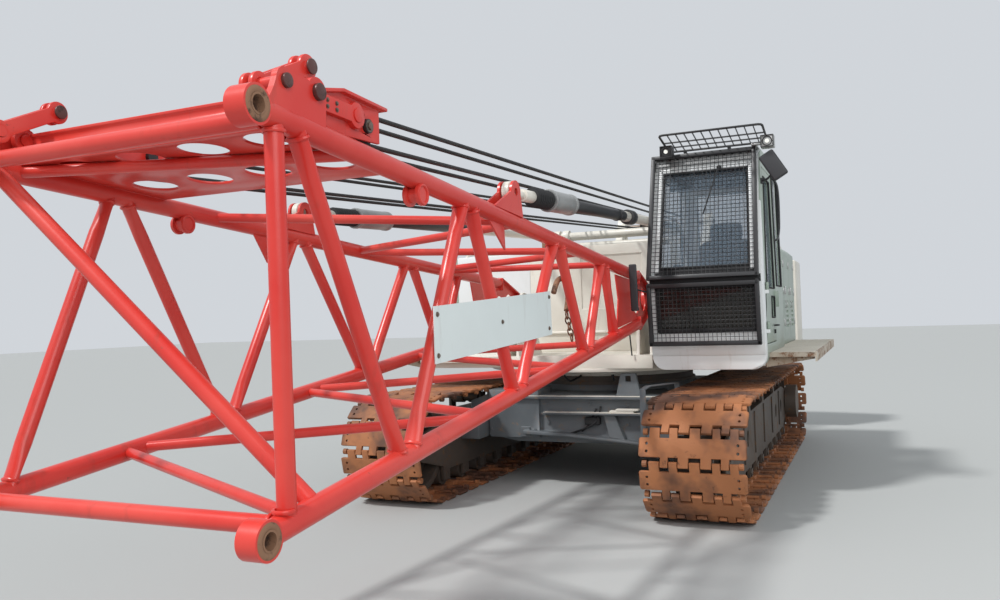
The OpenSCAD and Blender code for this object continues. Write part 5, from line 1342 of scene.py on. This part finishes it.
def makeHouseBits(s):
    rails, latches, ribs = [], [], []
    for hand, endX in s["ends"]:
        face, out = hand * s["side"], hand * s["side"] + hand * s["latchOut"]
        pullFace = face + hand * s["pullOut"]
        span = endX - s["endGap"] - s["backX"]
        for i in range(s["doors"]):
            hingeX = s["backX"] + span * i / s["doors"] + s["hingeIn"]
            endOfDoor = s["backX"] + span * (i + 1) / s["doors"]
            for z in s["hingeZs"]:
                low, high = at(hingeX, face, z - s["hingeHalf"]), at(hingeX, face, z + s["hingeHalf"])
                latches.append(addRod("hinge", low, high, s["hingeRadius"], 12, 0.002))
            (x0, x1), (z0, z1) = [endOfDoor - x for x in s["latchXs"]], s["latchZs"]
            latches.append(addBox("latch", at(x0, min(face, out), z0), at(x1, max(face, out), z1), 0.004))
            x, (high, low) = endOfDoor - s["pullX"], s["pullZs"]
            pull = path((x, face, high), (x, pullFace, high), (x, pullFace, low), (x, face, low))
            latches.append(addHose("pull", pull, s["pullRadius"]))
        y, (x0, gap), (low, high) = hand * s["railY"], s["railXs"], s["railZs"]
        rail = path((x0, y, low), (x0, y, high), (endX - gap, y, high), (endX - gap, y, low))
        rails.append(addHose("rail", rail, s["railRadius"]))
        y0, y1 = sorted(hand * y for y in s["ribYs"])
        for x in [s["ribStart"] + i * s["ribPitch"] for i in range(s["ribs"])]:
            ends = at(x, y0, s["ribZ"]), at(x + s["ribLength"], y1, s["ribZ"])
            ribs.append(addBar("rib", *ends, up, 0.004, 0.012))
    return rails, latches, ribs


houseRails, houseLatches, catwalkRibs = makeHouseBits(houseSettings)
finish(joinAll("houseRails", houseRails), creamPaint, "upper")
finish(joinAll("houseLatches", houseLatches), galvanised, "upper")
finish(joinAll("catwalkRibs", catwalkRibs), creamPaint, "upper", (), 60)
deckSettings = {
    "pinX": 1.05, "pinZ": 1.66, "pinFaces": ((0.71, 1), (0.55, -1)), "headHigh": 0.010, "headRadius": 0.052,
    "keeperXs": (1.03, 1.07), "keeperZs": (1.725, 1.76), "keeperHigh": 0.012,
    "cables": (("cable", 0.006, (1.2665, 0.512, 1.36), (1.2665, 0.520, 1.25), (1.2665, 0.526, 1.175)),
               ("cable", 0.009, (1.14, 0.30, 0.995), (1.10, 0.31, 0.96), (0.98, 0.27, 0.93),
                (0.80, 0.21, 0.97)),
               ("cable", 0.009, (1.14, -0.15, 0.995), (1.10, -0.14, 0.954), (0.98, -0.135, 0.924),
                (0.80, -0.105, 0.97))),
}


def makeFootPins(s):  # the heads of the boom's foot pins on both faces of each ear, with their keepers
    bits = []
    (x0, x1), (z0, z1) = s["keeperXs"], s["keeperZs"]
    for hand in (1, -1):
        for y, out in s["pinFaces"]:
            face, way = at(s["pinX"], hand * y, s["pinZ"]), left * hand * out
            bits.append(addRod("pinHead", face, face + way * s["headHigh"], s["headRadius"], 32, 0.003))
            bits.append(addBolt(face + way * s["headHigh"], way, 0.014))
            inner, outer = sorted((hand * y, hand * y + way.y * s["keeperHigh"]))
            bits.append(addBox("keeper", at(x0, inner, z0), at(x1, outer, z1), 0.002))
    return bits


finish(joinAll("footPinHeads", makeFootPins(deckSettings)), pinSteel, "upper")
finish(joinAll("deckCables", addHoses(deckSettings["cables"])), rubberBlack, "upper", (), 60)

drumSettings = {
    # body, x and z of the axle, radius of the rope's middle
    "drums": (("front_drum", -0.33, 1.64, 0.251), ("rear_drum", -1.12, 1.64, 0.251),
              ("boom_hoist_drum", -1.8, 1.56, 0.191)),
    "turns": 32, "firstY": -0.358, "pitch": 0.0231, "rope": 0.0115,
    "boltY": 0.448, "boltRadius": 0.062, "boltTurns": (0.4, 1.97, 3.54, 5.11), "boltSize": 0.009,
}


def makeWindings(s):  # one layer of rope on each drum
    for body, x, z, radius in s["drums"]:
        middles = [at(x, s["firstY"] + i * s["pitch"], z) for i in range(s["turns"])]
        turns = [addRing("turn", middle, left, radius, s["rope"], 40, 6) for middle in middles]
        finish(joinAll(body.split("_")[0] + "Windings", turns), ropeSteel, body, (), 60)


def boltCircle(x, y, z, radius, turns, way, size):
    return [addBolt(at(x + radius * math.cos(a), y, z + radius * math.sin(a)), way, size) for a in turns]


def makeDrumBolts(s):
    bolts = []
    for _, x, z, _ in s["drums"]:
        for hand in (1, -1):
            y, way = hand * s["boltY"], left * hand
            bolts += boltCircle(x, y, z, s["boltRadius"], s["boltTurns"], way, s["boltSize"])
    return bolts


makeWindings(drumSettings)
finish(joinAll("drumBolts", makeDrumBolts(drumSettings)), pinSteel, "upper")

print("stage: lower works details")
lowerSettings = {
    "bar": ((1.10, 0.88, 0.80), (1.15, 0.88, 0.93), (2.13, 0.88, 0.985), (2.30, 0.88, 0.975),
            (2.31, 0.88, 0.62), (2.31, 1.085, 0.62)),
    "barWide": 0.044, "barThick": 0.010, "barCorner": 0.0055,
    "boxBolts": ((-0.52, -0.30, 0.10, 0.45, 0.72), (0.735, 0.565), 1.1805, 0.014),
    "frontBolts": ((-0.86, -0.42), (0.50, 0.80), 1.2205, 0.011),
    "strips": (("strip", (1.1815, -0.60, 0.8125), (1.252, 0.78, 0.8165), 0.0015),
               ("strip", (1.1815, -0.32, 0.6685), (1.272, 0.81, 0.6725), 0.0015),
               ("scrap", (1.19, 0.30, 0.673), (1.262, 0.52, 0.692), 0.004),
               ("scrap", (1.20, 0.36, 0.692), (1.268, 0.56, 0.708), 0.004)),
    "hoses": (("line", 0.009, (1.19, 0.16, 0.70), (1.23, 0.13, 0.62), (1.22, 0.10, 0.55), (1.19, 0.02, 0.50)),
              ("line", 0.009, (1.19, 0.20, 0.72), (1.24, 0.20, 0.60), (1.23, 0.06, 0.52), (1.19, -0.10, 0.47))),
    "valve": (("valve", (1.1805, 0.06, 0.56), (1.235, 0.20, 0.625), 0.006),),
}


def makeLowerFittings(s):
    corners, half = path(*s["bar"]), left * s["barWide"] / 2
    bits = [addBar("guardBar", a, b, left, s["barWide"], s["barThick"], 0.003)
            for a, b in zip(corners, corners[1:])]
    bits += [addRod("corner", p - half, p + half, s["barCorner"], 12) for p in corners[1:-1]]
    for ys, zs, x, radius in (s["boxBolts"], s["frontBolts"]):
        bits += [addBolt(at(x, y, z), ahead, radius) for y in ys for z in zs]
    return bits


finish(joinAll("lowerFittings", makeLowerFittings(lowerSettings)), greyPaint, "lower")
finish(joinAll("wornStrips", addBoxes(lowerSettings["strips"])), creamPaint, "lower")
lowerLines = addHoses(lowerSettings["hoses"]) + addBoxes(lowerSettings["valve"])
finish(joinAll("lowerHoses", lowerLines), rubberBlack, "lower", (), 60)
frameSettings = {
    "side": 1.27 + 0.1805, "wheelXs": (-2.1, 2.1), "wheelZ": 0.45, "capOut": 0.022, "capRadius": 0.085,
    "capBolts": 0.066, "capTurns": (0, 1.57, 3.14, 4.71), "rollers": 10, "rollerHalf": 1.712, "rollerZ": 0.1473,
    "rollerOut": 0.010, "rollerRadius": 0.038, "ribXs": (-1.3, -0.65, 0, 0.65, 1.3), "ribHalf": 0.009,
    "ribOut": (0.002, 0.012), "ribZs": (0.27, 0.64),
}


def makeFrameDetails(s):  # caps of the wheels and rollers, and ribs, on the outer sides of both frames
    bits = []
    for hand in (1, -1):
        face, way = hand * s["side"], left * hand
        capFace = face + hand * s["capOut"]
        for x in s["wheelXs"]:
            ends = at(x, face, s["wheelZ"]), at(x, capFace, s["wheelZ"])
            bits.append(addRod("cap", *ends, s["capRadius"], 28, 0.004))
            bits += boltCircle(x, capFace, s["wheelZ"], s["capBolts"], s["capTurns"], way, 0.009)
        for i in range(s["rollers"]):
            x = (2 * i / (s["rollers"] - 1) - 1) * s["rollerHalf"]
            ends = at(x, face, s["rollerZ"]), at(x, face + hand * s["rollerOut"], s["rollerZ"])
            bits.append(addRod("rollerCap", *ends, s["rollerRadius"], 20, 0.002))
        low, high = sorted((face - hand * s["ribOut"][0], face + hand * s["ribOut"][1]))
        for x in s["ribXs"]:
            corners = at(x - s["ribHalf"], low, s["ribZs"][0]), at(x + s["ribHalf"], high, s["ribZs"][1])
            bits.append(addBox("rib", *corners, 0.002))
    return bits


finish(joinAll("frameDetails", makeFrameDetails(frameSettings)), darkSteel, "lower")

print("stage: finish")
